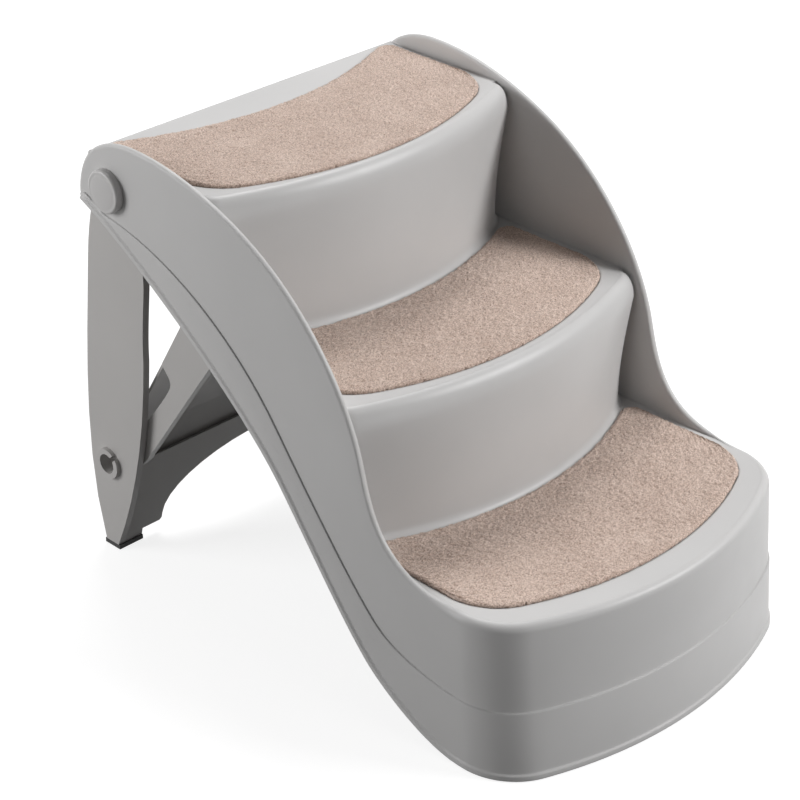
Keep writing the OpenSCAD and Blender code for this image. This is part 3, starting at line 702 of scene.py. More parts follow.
    def skirt(self) -> Object:
        """The skirt and both walls as one closed ribbon."""
        s, rim, tread = self.sizes, self.sizes.rim, self.sizes.nosing(0)
        low, high = s.rim_clear, s.tread_tops[0]
        rings = []
        for turn in (self.ring_step * k for k in range(round(90 / self.ring_step))):
            rings.append(self.column(rim.point(turn), tread.point(turn), turn, low, high, 1.0))
        for y, z in self.top_edge:
            t = (y - s.wall_front_y) / (s.wall_rear_y - s.wall_front_y)
            foot_y = mix(s.low_front_y, self.low_rear[0], t)
            f = ease(1 - (y - s.wall_front_y) / s.blend_l)
            low = lookup(foot_y, self.low_edge)
            foot, top = (s.half_w, foot_y), (s.half_w, y)
            rings.append(self.column(foot, top, self.side_turn, low, z, f))
        left = [[(-x, y, z) for x, y, z in ring] for ring in reversed(rings[1:])]
        obj = loft("skirt", left + rings)
        starts = (-s.half_w - 5, s.half_w - 30)
        cut(obj, *(rod("bore", (x, s.pivot_y, s.pivot_z), self.bore_r, 35) for x in starts))
        return obj

    def riser_section(self, top: float, base: float) -> Path2:
        """A riser's section as distance out from its nosing line and height."""
        s, n = self.sizes, self.fillet_steps
        nose = s.nosing_ds[1]
        turns = [radians(90 * k / n) for k in range(n + 1)]
        foot, back = s.draft + s.fillet_d, -nose - self.overlap
        inner_d, inner_h, under = s.fillet_d + s.skin, s.fillet_h + s.skin, top - s.nosing_h
        faces = [(s.draft * t, mix(under, base + s.fillet_h, t)) for t in self.face_shares]
        points = [(back, top - self.hair)]
        points += [(-nose * (1 - sin(t)), top - s.nosing_h * (1 - cos(t))) for t in turns]
        points += faces
        points += [(foot - s.fillet_d * cos(t), base + s.fillet_h * (1 - sin(t))) for t in turns]
        toe = foot + self.overlap
        points += [(toe, base - self.hair), (toe, base - s.skin + self.hair)]
        points += [(foot - inner_d * sin(t), base + s.fillet_h - inner_h * cos(t)) for t in turns]
        points += [(x - s.skin, z) for x, z in reversed(faces)]
        inner_d, inner_h = nose - s.skin, s.nosing_h - s.skin
        points += [(-nose + inner_d * cos(t), under + inner_h * sin(t)) for t in turns]
        points.append((back, top - s.skin + self.hair))
        return points

    def riser(self, k: int) -> Object:
        """Riser k: its outline passes from the nosing's to the foot's, cut off inside the walls."""
        s, top, base = self.sizes, self.sizes.tread_tops[k], self.sizes.tread_tops[k - 1]
        section = self.riser_section(top, base)
        face = top - s.nosing_h - base - s.fillet_h
        n = round(180 / self.front_step)
        rings = []
        for turn in (180 * m / n - 90 for m in range(n + 1)):
            a = radians(turn)
            (x0, y0), (x1, y1) = s.nosing(k).point(turn), s.foot(k).point(turn)
            ring = []
            for out, z in section:
                share = sin(pi / 2 * max(0.0, min(1.0, (top - s.nosing_h - z) / face)))
                x, y = mix(x0, x1, share), mix(y0, y1, share)
                ring.append((x + out * sin(a), y - out * cos(a), z))
            rings.append(ring)
        obj = loft(f"riser_{k}", rings)
        trim_sides(obj, s.riser_side_x)
        return obj

    def plate(self, k: int) -> Object:
        """Tread k's flat with the recess that its carpet lies in."""
        s = self.sizes
        bow = s.nosing(k).grown(-s.nosing_ds[k])
        steps = (self.front_step, self.corner_step)
        outline = [bow.point(t) for t in bow.turns(*steps)]
        side_y = s.wall_front_y + s.blend_l if k == 0 else s.nosing(k).corner_y
        outline.append((s.riser_side_x + 0.2, side_y))
        if k < 2:
            foot = s.foot(k + 1).grown(s.draft + s.foot_d)
            outline += [foot.point(t) for t in reversed(foot.turns(*steps))]
        else:
            rear = s.shell_rear_y - self.rear_edge_r
            outline += [(s.riser_side_x, rear), (-s.riser_side_x, rear)]
        outline.append((-s.riser_side_x - 0.2, side_y))
        top = s.tread_tops[k]
        obj = flat_prism(f"tread_{k}", outline, top - s.skin, s.skin)
        trim_sides(obj, s.riser_side_x + 0.1)
        around = CarpetOutline(s, k).points(s.recess_gap)
        cut(obj, flat_prism("recess", around, top - s.recess_d, self.recess_tool_h))
        return obj

    def rear_edge(self) -> Object:
        """The top step's rounded rear edge."""
        s, r = self.sizes, self.rear_edge_r
        y, z, inner = s.shell_rear_y - r, s.tread_tops[2] - r, r - s.skin
        outline = [(y - self.overlap, s.tread_tops[2] - self.hair)]
        quarter, coarse = (map(radians, range(0, 91, step)) for step in (9, 15))
        outline += [(y + r * sin(t), z + r * cos(t)) for t in quarter]
        outline += [(y + inner * cos(t), z + inner * sin(t)) for t in coarse]
        outline.append((y - self.overlap, s.tread_tops[2] - s.skin))
        return side_prism("rear_edge", outline, -s.riser_side_x, 2 * s.riser_side_x)

    def rear_flange(self) -> Object:
        """The stiffening flange under the rear edge, between the leg's cheeks."""
        s = self.sizes
        y, z = s.shell_rear_y, s.tread_tops[2] - self.rear_flange_h
        high, inner, e = s.tread_tops[2] - self.rear_edge_r, y - s.skin, self.flange_soft
        outline = [(y, high), (y, z + e), (y - e, z), (inner + e, z), (inner, z + e), (inner, high)]
        return side_prism("rear_flange", outline, -self.flange_half_w, 2 * self.flange_half_w)

    def rib(self, x: float) -> Object:
        """A stiffening rib under the treads and behind the risers at x."""
        s, fillet = self.sizes, self.sizes.nosing_ds[1]
        y1, y2, y3 = (s.behind_riser(k, x) for k in range(3))
        u1, u2, u3 = (t - s.skin / 2 for t in s.tread_tops)
        h, d = self.rib_h + s.skin / 2, self.rib_h
        rear = s.shell_rear_y - s.skin / 2
        outline = [(y1, u1)]
        for y, base, top in ((y2, u1, u2), (y3, u2, u3)):
            outline += [(y - s.fillet_d, base), (y, base + s.fillet_h)]
            outline += [(y, top - s.nosing_h), (y + fillet, top)]
        outline += [(rear, u3), (rear, u3 - h)]
        for y, base, top in ((y3, u2, u3), (y2, u1, u2)):
            outline += [(y + fillet + d, top - h), (y + d, top - s.nosing_h - h)]
            outline += [(y + d, base - h / 2), (y + d - s.foot_d, base - h)]
        outline.append((y1 + d, u1 - h))
        return side_prism("rib", outline, x - self.rib_t / 2, self.rib_t)

    def latch_seat(self) -> list[Object]:
        """The right latch pin between its two lugs."""
        s = self.sizes
        y, z = s.nosing_ys[2] + self.latch_back, s.tread_tops[1] + self.latch_r - self.latch_bite
        r = self.latch_r + self.lug_wall
        back = s.foot(2).front_at(self.hook_x) + s.skin / 2
        outline = [(y + r * sin(t), z + r * cos(t)) for t in map(radians, range(0, 181, 10))]
        outline += [(back, z - r), (back, z + r)]
        low, high = self.hook_x - self.lug_gap / 2, self.hook_x + self.lug_gap / 2
        parts = [side_prism("lug", outline, x, self.lug_t) for x in (low - self.lug_t, high)]
        length = self.lug_gap + 2 * self.latch_bite
        center = (low - self.latch_bite, y, z)
        parts.append(rod("latch_pin", center, self.latch_r, length, self.latch_sides))
        return parts

    def pad_shelf(self) -> Object:
        """The right shelf inside the rim that carries a floor pad."""
        s = self.sizes
        obj = bar("pad_shelf", self.shelf_low, self.shelf_high)
        turn = Matrix.Rotation(radians(self.shelf_turn), 4, "Z")
        depths = (s.rim.center_y, -Place.half_depth, s.wall_low_t - self.shelf_bite - s.rim_bow_r)
        move, home, local = (Matrix.Translation(Vector((0, y * MM, 0))) for y in depths)
        obj.data.transform(home @ move @ turn @ local @ home.inverted())
        return obj

    def boss_ring(self) -> Object:
        """The right thickening inside the wall round the pivot."""
        s = self.sizes
        center = (s.half_w - self.boss_ring_in, s.pivot_y, s.pivot_z)
        obj = rod("boss_ring", center, self.boss_ring_r, self.boss_ring_t)
        cut(obj, rod("bore", (s.half_w - 15, s.pivot_y, s.pivot_z), self.bore_r, 20))
        return obj

    def build(self) -> Object:
        """Makes the whole moulding, which stands for its node."""
        parts = [self.skirt(), self.riser(1), self.riser(2)]
        parts += [self.plate(k) for k in range(3)]
        parts += [self.rear_edge(), self.rear_flange()]
        parts += [self.rib(x) for x in (-self.rib_spread, 0.0, self.rib_spread)]
        right = [*self.latch_seat(), self.pad_shelf(), self.boss_ring()]
        parts += right + [mirrored(part, "twin") for part in right]
        obj = joined("shell_moulding", parts)
        smooth(obj, 32)
        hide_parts("step_shell")
        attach(obj, Body.SHELL.value)
        return obj


# The carpets


@dataclass(frozen=True)
class CarpetOutline:
    """The bowed outline of carpet k: round corners, straight sides, a bowed back."""

    sizes: StairSizes
    k: int

    @property
    def front(self) -> Bow:
        """Its front and sides."""
        s = self.sizes
        return Bow(s.carpet_bow_r, s.carpet_corner_r, s.carpet_w / 2, s.carpet_front(self.k))

    @property
    def back_y(self) -> float:
        """Depth of its back on the centre line."""
        return self.front.front_y + self.sizes.carpet_depth(self.k)

    def points(self, grow: float, front_step: float = 1.5, corner_step: float = 5.0) -> Path2:
        """The outline, grown by that many mm.

        Args:
            grow: How far outside the carpet it runs.
            front_step: Step on the long arcs in degrees.
            corner_step: Step in the corners in degrees.

        Returns:
            The points in plan.
        """
        s, q = self.sizes, self.sizes.carpet_rear_corner_r
        bow = self.front.grown(grow)
        back_r, back_y = s.carpet_back_r, self.back_y + grow
        side = s.carpet_w / 2 + grow
        start = degrees(asin((side - q) / (back_r + q)))
        cy = back_y + back_r - (back_r + q) * cos(radians(start))
        front = [bow.point(t) for t in bow.turns(front_step, corner_step)]
        n = round((90 - start) / corner_step)
        corner = [radians((90 - start) * m / n) for m in range(n + 1)]
        right = [(side - q + q * cos(a), cy + q * sin(a)) for a in corner]
        m = round(2 * start / front_step)
        arc = [radians(start - 2 * start * i / m) for i in range(1, m)]
        back = [(back_r * sin(a), back_y + back_r - back_r * cos(a)) for a in arc]
        return front + right + back + [(-x, y) for x, y in reversed(right)]

    def cut_size(self) -> tuple[float, float, float]:
        """Width, length and area of the flat cut, in metres and square metres."""
        points = self.points(0.0)
        xs, ys = zip(*points)
        area = sum(a[0] * b[1] - b[0] * a[1] for a, b in zip(points, points[1:] + points[:1])) / 2
        return (max(xs) - min(xs)) * MM, (max(ys) - min(ys)) * MM, abs(area) * MM * MM

    def span(self, x: float) -> Point2:
        """Depths of the carpet's front and back edges at x."""
        s, q = self.sizes, self.sizes.carpet_rear_corner_r
        back_r, back_y = s.carpet_back_r, self.back_y
        side = s.carpet_w / 2
        reach = (side - q) / (back_r + q)
        x = abs(x)
        if x < back_r * reach:
            back = back_y + back_r - sqrt(back_r**2 - x * x)
        else:
            cy = back_y + back_r - (back_r + q) * sqrt(1 - reach * reach)
            back = cy + sqrt(max(0.0, q * q - (x - side + q) ** 2))
        return self.front.front_at(x), back


@dataclass
class Carpet:
    """A short-pile mat in its recess: a dense top with uneven tufts and frayed edges."""

    name: str
    k: int
    sizes: StairSizes = field(default_factory=StairSizes)
    columns: int = 300
    rows: int = 136
    pile: float = 0.8
    fray: float = 0.35
    jitter: float = 0.18
    side_jitter: float = 0.12
    even_share: float = 0.9
    edge_drops: tuple[float, ...] = (1.5, 0.6, 0.2)
    first_seed: int = 31
    lift: float = 0.02
    patch: int = 4

    def column_xs(self) -> list[float]:
        """Places of the mesh's columns, closer together in the round corners."""
        half, even = self.sizes.carpet_w / 2, self.even_share
        out = []
        for t in (2 * m / self.columns - 1 for m in range(self.columns + 1)):
            edge = max(0.0, abs(t) - even) / (1 - even)
            share = abs(t) if abs(t) <= even else even + (1 - even) * sin(edge * pi / 2)
            out.append(copysign(half * share, t))
        return out

    def build(self) -> Object:
        """Makes the mat, which rides on the shell."""
        s, rng = self.sizes, random.Random(self.first_seed + self.k)
        outline = CarpetOutline(s, self.k)
        low = s.tread_tops[self.k] - s.recess_d + s.tape_t
        top = low + s.carpet_t - self.pile
        points: Path3 = []
        n, cell = self.rows, self.patch
        down, across = n // cell + 2, self.columns // cell + 2
        coarse = [[rng.gauss(0, 1) for _ in range(down)] for _ in range(across)]
        for i, x in enumerate(self.column_xs()):
            front, back = outline.span(x)
            for j in range(n + 1):
                t = j / n
                rim = min(min(t, 1 - t) * n, i, self.columns - i)
                tuft = rng.gauss(0, self.pile * 0.45)
                tuft += 0.3 * self.pile * coarse[i // cell][j // cell]
                tuft = max(-self.pile, min(self.pile, tuft))
                drop = self.edge_drops[int(rim)] if rim < len(self.edge_drops) else 0.0
                jx, jy = rng.gauss(0, self.jitter), rng.gauss(0, self.jitter)
                if rim == 0:
                    jx, jy = rng.gauss(0, self.fray), rng.gauss(0, self.fray)
                z = min(low + s.carpet_t, top + tuft - drop)
                points.append((x + jx, mix(front, back, t) + jy, z))
        w = n + 1
        corners = (i * w + j for i in range(self.columns) for j in range(n))
        faces = [[a, a + w, a + w + 1, a + 1] for a in corners]
        ring = [i * w for i in range(self.columns + 1)]
        ring += [self.columns * w + j for j in range(1, w)]
        ring += [i * w + n for i in range(self.columns - 1, -1, -1)]
        ring += range(n - 1, 0, -1)
        mid = len(points)
        for v in ring:
            x, y, z = points[v]
            jx, jy = rng.gauss(0, self.side_jitter), rng.gauss(0, self.side_jitter)
            points.append((x + jx, y + jy, mix(low, z, 0.5)))
        base = len(points)
        points += [(points[v][0], points[v][1], low + self.lift) for v in ring]
        m = len(ring)
        for q in range(m):
            r = (q + 1) % m
            faces.append([ring[r], ring[q], mid + q, mid + r])
            faces.append([mid + r, mid + q, base + q, base + r])
        faces.append([base + q for q in range(m)])
        obj = mesh_object(self.name, points, faces)
        smooth(obj, 70)
        place = CARPET_PLACES[self.k]
        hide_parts(f"carpet_{place}")
        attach(obj, Body.SHELL.value)
        width, length, area = outline.cut_size()
        return obj


# Leg, brace and hardware


@dataclass
class Softened:
    """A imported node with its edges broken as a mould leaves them."""

    node: str
    name: str
    body: Body
    slot: str
    edge: float = 0.6
    segments: int = 2
    angle: float = 32.0

    def shaped(self) -> Object:
        """The node's merged copy, before its edges are broken."""
        return cad_copy(self.node, self.name)

    def build(self) -> Object:
        """Makes the softened copy, which stands for its node."""
        obj = self.shaped()
        apply_modifier(
            obj, "BEVEL", width=self.edge * MM, segments=self.segments, limit_method="ANGLE",
            angle_limit=radians(self.angle), harden_normals=False, use_clamp_overlap=True,
        )
        smooth(obj, self.angle)
        apply_modifier(obj, "WEIGHTED_NORMAL", keep_sharp=True, weight=100)
        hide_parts(self.node)
        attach(obj, self.body.value)
        return obj


@dataclass
class SplitBossBrace(Softened):
    """The brace, with blind split bosses whose slots point forwards and up."""

    center: Point2 = (626.0, 106.0)
    cheek_x: float = 190.0
    end_x: float = 204.2
    outer_r: float = 17.0
    hole_r: float = 11.0
    slot_w: float = 5.0
    slot_turn: float = 135.0
    floor_t: float = 2.0
    over: float = 1.0
    old_gap: float = 0.2
    arc_steps: int = 64

    def ring(self) -> Path2:
        """The split ring's outline in depth and height, from one side of its slot to the other."""
        y, z = self.center
        arcs = []
        for r in (self.outer_r, self.hole_r):
            half = asin(self.slot_w / 2 / r)
            start = radians(self.slot_turn) + half
            sweep = 2 * pi - 2 * half
            turns = [start + sweep * k / self.arc_steps for k in range(self.arc_steps + 1)]
            arcs.append([(y + r * cos(a), z + r * sin(a)) for a in turns])
        return arcs[0] + list(reversed(arcs[1]))

    def shaped(self) -> Object:
        """The node's copy, with the bosses outside its cheeks made new."""
        obj = cad_copy(self.node, self.name)
        y, z = self.center
        start, reach = self.cheek_x + self.old_gap, self.end_x - self.cheek_x
        parts = [obj]
        for sign in SIDES:
            low = start if sign > 0 else -start - reach
            cut(obj, rod("old_boss", (low, y, z), self.outer_r + self.over, reach))
            floor_x = self.cheek_x * sign
            base_x = floor_x - self.floor_t * sign
            parts.append(side_prism("ring", self.ring(), base_x, (reach + self.floor_t) * sign))
            center = (min(floor_x, base_x), y, z)
            parts.append(rod("floor", center, self.hole_r + self.over, self.floor_t))
        return joined(self.name, parts)


@dataclass
class PivotPin:
    """A headed pivot pin: a shank through wall and leg, and a broad button with a soft edge."""

    side: Side
    sizes: StairSizes = field(default_factory=StairSizes)
    head_r: float = 22.5
    head_h: float = 9.0
    head_edge: float = 2.6
    shank_r: float = 8.0
    shank_start: float = 195.2
    dome: float = 0.5
    ring_depth: float = 0.35
    ring_w: float = 1.2
    ring_end: float = 2.6
    base_edge: float = 0.6
    sides: int = 96

    def build(self) -> Object:
        """Makes the pin, which rides on the shell."""
        s = self.sizes
        name = f"pivot_pin_{self.side.name.lower()}"
        base = s.half_w - self.shank_start
        r, e, lip, top = self.head_r, self.head_edge, self.base_edge, base + self.head_h
        face, flat = r - e - self.ring_end, top - self.dome
        profile: Path2 = [(0.0, 0.0), (self.shank_r, 0.0), (self.shank_r, base)]
        profile += [(r - lip, base), (r, base + lip), (r, top - e)]
        for a in map(radians, range(15, 91, 15)):
            profile.append((r - e + e * cos(a), top - e + e * sin(a) - self.dome))
        profile += [(r - e - self.ring_w, flat - self.ring_depth), (face, flat - 0.05)]
        profile += [(face * t, top - self.dome * t * t) for t in (0.75, 0.5, 0.25)]
        profile.append((0.0, top))
        points: Path3 = []
        faces: list[list[int]] = []
        n = len(profile)
        for m in range(self.sides):
            a = 2 * pi * m / self.sides
            for out, x in profile:
                y, z = s.pivot_y + out * cos(a), s.pivot_z + out * sin(a)
                points.append((self.shank_start + x, y, z))
            q = (m + 1) % self.sides
            for k in range(n - 1):
                faces.append([m * n + k, m * n + k + 1, q * n + k + 1, q * n + k])
        obj = mesh_object(name + "_moulded", points, faces)
        if self.side is Side.LEFT:
            right = obj
            obj = mirrored(right, name + "_moulded")
            bpy.data.objects.remove(right, do_unlink=True)
            obj.name = name + "_moulded"
        smooth(obj, 40)
        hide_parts(name)
        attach(obj, Body.SHELL.value)
        return obj


# Finishes


class Nodes:
    """A node tree, built a node at a time."""

    def __init__(self, tree: bpy.types.NodeTree) -> None:
        """Starts with an empty tree.

        Args:
            tree: The tree of a material or a world.
        """
        self.tree = tree
        tree.nodes.clear()

    def feed(self, socket: Socket, value: object) -> None:
        """Links an input to another node's output, or sets its constant."""
        if isinstance(value, Socket):
            self.tree.links.new(value, socket)
        else:
            socket.default_value = value

    def add(
        self, kind: str, inputs: dict[str | int, object] | None = None, **values: object
    ) -> bpy.types.Node:
        """Adds a node.

        Args:
            kind: Its kind, without the prefix that all share.
            inputs: The output that feeds each input, or the input's constant.
            values: Its properties.

        Returns:
            The node.
        """
        node = self.tree.nodes.new(f"ShaderNode{kind}")
        for key, value in values.items():
            setattr(node, key, value)
        for key, value in (inputs or {}).items():
            self.feed(node.inputs[key], value)
        return node

    def ray(self, *kinds: str) -> Socket:
        """Tells whether the ray is of one of these kinds."""
        path = self.add("LightPath")
        seen = path.outputs[kinds[0]]
        for kind in kinds[1:]:
            either = self.add("Math", {0: seen, 1: path.outputs[kind]}, operation="MAXIMUM")
            seen = either.outputs[0]
        return seen


class Finish(Nodes):
    """A material with one principled shader."""

    def __init__(self, name: str) -> None:
        """Starts a plain material.

        Args:
            name: The material's name.
        """
        self.material = bpy.data.materials.new(name)
        self.material.use_nodes = True
        super().__init__(self.material.node_tree)
        self.shader = self.add("BsdfPrincipled")
        self.output = self.add("OutputMaterial", {"Surface": self.shader.outputs["BSDF"]})
        self.coords = self.add("TexCoord").outputs["Object"]

    def surface(self, inputs: dict[str, object]) -> Material:
        """Feeds the shader's inputs and hands over the material."""
        for key, value in inputs.items():
            self.feed(self.shader.inputs[key], value)
        return self.material

    def noise(
        self, scale: float, detail: float = 2.0, rough: float = 0.5, squash: Point3 = (1, 1, 1)
    ) -> Socket:
        """Noise on object coordinates.

        Args:
            scale: Its scale per metre.
            detail: Its detail.
            rough: Its roughness.
            squash: How it is stretched along each axis.

        Returns:
            The noise's value.
        """
        where = self.add("Mapping", {"Scale": squash, "Vector": self.coords}).outputs["Vector"]
        inputs = {"Scale": scale, "Detail": detail, "Roughness": rough, "Vector": where}
        return self.add("TexNoise", inputs).outputs["Fac"]

    def spread(
        self, value: Socket, low: float, high: float, to_low: float, to_high: float
    ) -> Socket:
        """Maps a value from one range to another."""
        inputs = {"From Min": low, "From Max": high, "To Min": to_low, "To Max": to_high}
        return self.add("MapRange", {**inputs, "Value": value}).outputs["Result"]

    def ramp(self, value: Socket, *stops: tuple[float, Sequence[float]]) -> Socket:
        """Colours a value by stops of place and colour."""
        node = self.add("ValToRGB", {"Fac": value})
        elements = node.color_ramp.elements
        while len(elements) < len(stops):
            elements.new(0.5)
        for element, (place, colour) in zip(elements, stops):
            element.position = place
            element.color = (*colour, 1.0)
        return node.outputs["Color"]

    def bump(
        self, height: Socket, strength: float, distance: float, normal: Socket | None = None
    ) -> Socket:
        """A bump in the surface.

        Args:
            height: The height to read.
            strength: The bump's strength.
            distance: The height's depth in metres.
            normal: The normal that it starts from.

        Returns:
            The bumped normal.
        """
        inputs = {"Strength": strength, "Distance": distance, "Height": height}
        if normal is not None:
            inputs["Normal"] = normal
        return self.add("Bump", inputs).outputs["Normal"]


@dataclass(frozen=True)
class MouldedPlastic:
    """Satin polypropylene with a fine spark-eroded grain and slight cloudiness."""

    name: str
    colour: Colour
    roughness: float = 0.42
    specular: float = 0.42
    grain: float = 0.12
    cloud: float = 0.025
    round_edges: float = 0.0

    def material(self) -> Material:
        """Builds the material."""
        n = Finish(self.name)
        low, high = ([c * k for c in self.colour] for k in (1 - self.cloud, 1 + self.cloud))
        start = None
        if self.round_edges:
            start = n.add("Bevel", {"Radius": self.round_edges}, samples=4).outputs["Normal"]
        wave = n.bump(n.noise(6.0, 1.0), 0.06, 0.004, start)
        blotch = n.noise(55.0, 3.0, 0.6)
        return n.surface({
            "Base Color": n.ramp(n.noise(9.0, 3.0), (0.3, low), (0.7, high)),
            "Roughness": n.spread(blotch, 0.3, 0.7, self.roughness - 0.03, self.roughness + 0.04),
            "Specular IOR Level": self.specular,
            "Normal": n.bump(n.noise(1900.0, 2.0, 0.6), self.grain, 0.0002, wave),
        })


@dataclass(frozen=True)
class CutPile:
    """Short cut pile in a pinkish tan with lighter and darker tufts."""

    name: str
    dark: Colour
    mid: Colour
    light: Colour
    fleck_share: float = 0.92

    def material(self) -> Material:
        """Builds the material."""
        n = Finish(self.name)
        patch = n.spread(n.noise(26.0, 4.0, 0.65), 0.0, 1.0, -0.02, 0.1)
        inputs = {0: n.noise(640.0, 3.0, 0.8), 1: self.fleck_share, 2: patch}
        both = n.add("Math", inputs, operation="MULTIPLY_ADD").outputs[0]
        tuft = n.bump(n.noise(800.0, 3.0, 0.8), 0.75, 0.0012)
        return n.surface({
            "Base Color": n.ramp(both, (0.38, self.dark), (0.5, self.mid), (0.60, self.light)),
            "Roughness": 0.95,
            "Specular IOR Level": 0.12,
            "Sheen Weight": 0.35,
            "Sheen Roughness": 0.6,
            "Normal": n.bump(n.noise(2600.0, 2.0, 0.7), 0.5, 0.0005, tuft),
        })


@dataclass(frozen=True)
class Rubber:
    """Dark matt rubber with a fine dusty grain."""

    name: str = "pad_rubber"
    dark: Colour = (0.022, 0.022, 0.023)
    dusty: Colour = (0.045, 0.044, 0.043)

    def material(self) -> Material:
        """Builds the material."""
        n = Finish(self.name)
        return n.surface({
            "Base Color": n.ramp(n.noise(160.0, 4.0, 0.7), (0.35, self.dark), (0.7, self.dusty)),
            "Roughness": n.spread(n.noise(300.0), 0.3, 0.7, 0.72, 0.86),
            "Normal": n.bump(n.noise(1400.0, 2.0), 0.25, 0.0003),
        })


@dataclass(frozen=True)
class ZincSteel:
    """Zinc-plated steel, faintly brushed."""

    name: str = "zinc_steel"
    roughness: float = 0.34
    dark: Colour = (0.50, 0.50, 0.51)
    light: Colour = (0.62, 0.62, 0.63)

    def material(self) -> Material:
        """Builds the material."""
        n = Finish(self.name)
        brushed = n.noise(900.0, 2.0, 0.6, (1.0, 1.0, 0.05))
        return n.surface({
            "Base Color": n.ramp(n.noise(240.0, 3.0), (0.3, self.dark), (0.7, self.light)),
            "Metallic": 1.0,
            "Roughness": n.spread(brushed, 0.3, 0.7, self.roughness - 0.06, self.roughness + 0.08),
            "Normal": n.bump(brushed, 0.12, 0.0001),
        })


@dataclass(frozen=True)
class HookTape:
    """Black woven hook tape."""

    name: str = "hook_tape"
    light: Colour = (0.045, 0.045, 0.047)
    dark: Colour = (0.012, 0.012, 0.013)

    def material(self) -> Material:
        """Builds the material."""
        n = Finish(self.name)
        weave = n.add("TexVoronoi", {"Scale": 900.0, "Vector": n.coords}).outputs["Distance"]
        return n.surface({
            "Base Color": n.ramp(weave, (0.1, self.light), (0.6, self.dark)),
            "Roughness": 0.85,
            "Normal": n.bump(weave, 0.6, 0.0006),
        })


def dress(obj: Object, material: Material) -> None:
    """Gives every slot of an object that material."""
    if not obj.material_slots:
        obj.data.materials.append(material)
    for slot in obj.material_slots:
        slot.material = material


# The studio


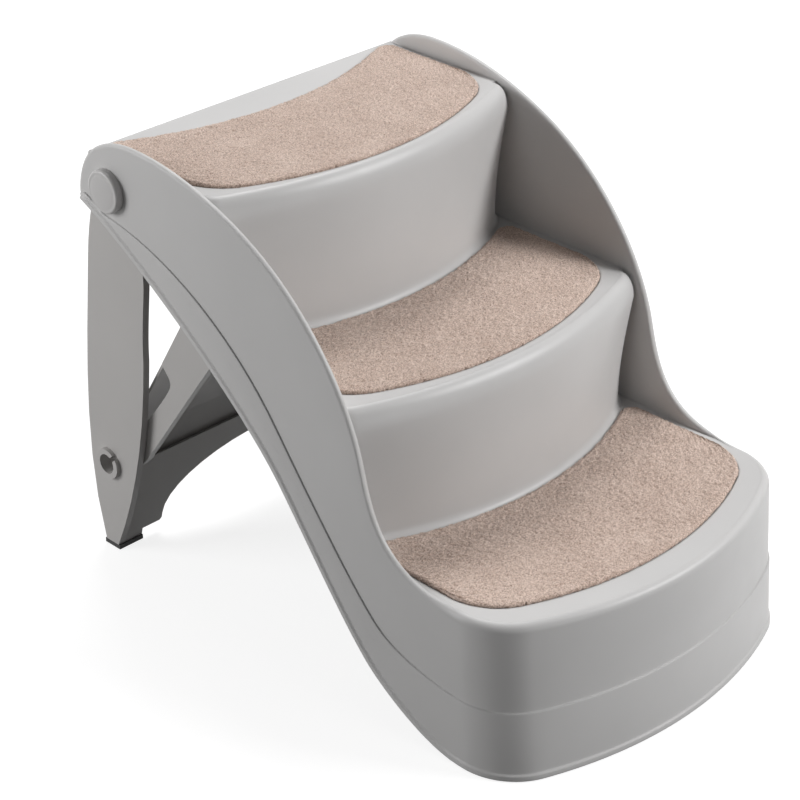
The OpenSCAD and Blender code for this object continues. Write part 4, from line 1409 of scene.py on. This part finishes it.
@dataclass(frozen=True)
class Studio:
    """A white sweep, soft lamps and the camera."""

    camera_at: Point3 = (-1526.7, -1131.7, 1415.5)
    look: Point3 = (0.61585, 0.61504, -0.49240)
    lens: float = 108.49
    sensor: float = 36.0
    far_clip: float = 60.0
    floor_size: float = 24.0
    floor_z: float = -0.0003
    paper_grey: Colour = (0.30, 0.30, 0.30)
    dim_grey: Colour = (0.09, 0.09, 0.09)
    glow_from_to: tuple[float, float, float, float] = (1.0, 2.6, 0.84, 1.0)
    world_light: float = 0.055
    lamp_aim: Point3 = (0, 0, 0.22)
    lamps: tuple[tuple[str, Point3, float, float], ...] = (
        ("key", (1.6, -2.2, 2.0), 1.2, 80.0),
        ("side", (-1.9, 1.6, 0.9), 1.2, 37.0),
        ("top", (0.9, 1.1, 2.7), 1.2, 47.0),
        ("front", (0.0, -2.6, 0.4), 0.9, 8.0),
        ("left", (-2.4, -0.2, 0.2), 0.8, 2.5),
    )

    def camera(self) -> None:
        """Adds the camera."""
        data = bpy.data.cameras.new("camera")
        data.lens, data.sensor_width, data.clip_end = self.lens, self.sensor, self.far_clip
        obj = linked("camera", data)
        obj.location = Place.at(self.camera_at)
        obj.rotation_euler = Vector(self.look).to_track_quat("-Z", "Y").to_euler()
        bpy.context.scene.camera = obj

    def floor(self) -> None:
        """Adds the floor: white to the camera, pale in its shadows."""
        bpy.ops.object.select_all(action="DESELECT")
        bpy.ops.mesh.primitive_plane_add(size=self.floor_size, location=(0, 0, self.floor_z))
        plane = bpy.context.object
        plane.name = "floor"
        n = Finish("floor_paper")
        paper = n.surface({
            "Base Color": (*self.paper_grey, 1), "Roughness": 0.9, "Specular IOR Level": 0.1,
        })
        place = n.add("NewGeometry").outputs["Position"]
        far = n.add("VectorMath", {0: place}, operation="LENGTH").outputs["Value"]
        glow = n.add("Emission", {"Strength": n.spread(far, *self.glow_from_to)})
        lit = n.add("AddShader", {0: n.shader.outputs["BSDF"], 1: glow.outputs["Emission"]})
        dim = n.add("BsdfDiffuse", {"Color": (*self.dim_grey, 1)})
        seen = n.ray("Is Camera Ray", "Is Glossy Ray")
        mixer = n.add("MixShader", {0: seen, 1: dim.outputs["BSDF"], 2: lit.outputs["Shader"]})
        n.feed(n.output.inputs["Surface"], mixer.outputs["Shader"])
        dress(plane, paper)

    def world(self) -> None:
        """Sets a soft pale world that the camera sees as white."""
        world = bpy.data.worlds.new("studio")
        world.use_nodes = True
        bpy.context.scene.world = world
        n = Nodes(world.node_tree)
        seen = n.ray("Is Camera Ray", "Is Glossy Ray", "Is Transmission Ray")
        inputs: dict[str | int, object] = {0: seen}
        for k, strength in enumerate((self.world_light, 1.0), 1):
            back = n.add("Background", {"Color": (1, 1, 1, 1), "Strength": strength})
            inputs[k] = back.outputs[0]
        n.add("OutputWorld", {"Surface": n.add("MixShader", inputs).outputs[0]})

    def lamp(self, name: str, at: Point3, size: float, power: float) -> None:
        """Adds a square soft lamp aimed at the stairs' middle.

        Args:
            name: Its name.
            at: Its place in metres.
            size: Its side in metres.
            power: Its power in watts.
        """
        data = bpy.data.lights.new(name, "AREA")
        data.shape, data.size, data.energy = "SQUARE", size, power
        obj = linked(name, data)
        obj.location = at
        aim = Vector(self.lamp_aim) - Vector(at)
        obj.rotation_euler = aim.to_track_quat("-Z", "Y").to_euler()

    def build(self) -> None:
        """Sets up the whole studio."""
        bpy.context.scene.view_settings.view_transform = "Standard"
        self.camera()
        self.floor()
        self.world()
        for lamp in self.lamps:
            self.lamp(*lamp)


# Putting it together


def main() -> None:
    logging.basicConfig(level=logging.INFO, format="%(message)s")
    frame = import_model()
    Place.settle()
    shell = MouldedPlastic("shell_plastic", (0.535, 0.528, 0.524), 0.40, round_edges=0.003)
    leg = MouldedPlastic("leg_plastic", (0.455, 0.442, 0.432))
    pin = MouldedPlastic("pin_plastic", (0.51, 0.50, 0.495), 0.34, grain=0.05)
    pile = CutPile("cut_pile", (0.33, 0.225, 0.17), (0.60, 0.44, 0.36), (0.82, 0.67, 0.58))
    brace = SplitBossBrace("brace", "brace_moulding", Body.BRACE, "brace_plastic")
    carpets = [Carpet(f"{place}_carpet_pile", k) for k, place in enumerate(CARPET_PLACES)]
    pieces = [
        ([StepShell()], shell),
        (carpets, pile),
        ([Softened("rear_leg", "rear_leg_moulding", Body.LEG, "leg_plastic"), brace], leg),
        ([PivotPin(Side.LEFT), PivotPin(Side.RIGHT)], pin),
    ]
    for makers, finish in pieces:
        material = finish.material()
        for maker in makers:
            obj = maker.build()
            dress(obj, material)
            log.info("%s: %d faces", obj.name, len(obj.data.polygons))
    steel = ZincSteel().material()
    small = {"washer": steel, "screw": steel}
    small |= {"pad": Rubber().material(), "tape": HookTape().material()}
    for node, obj in sorted(frame["nodes"].items()):
        for word, material in small.items():
            if word in node:
                dress(obj, material)
    Studio().build()


if __name__ == "__main__":
    main()
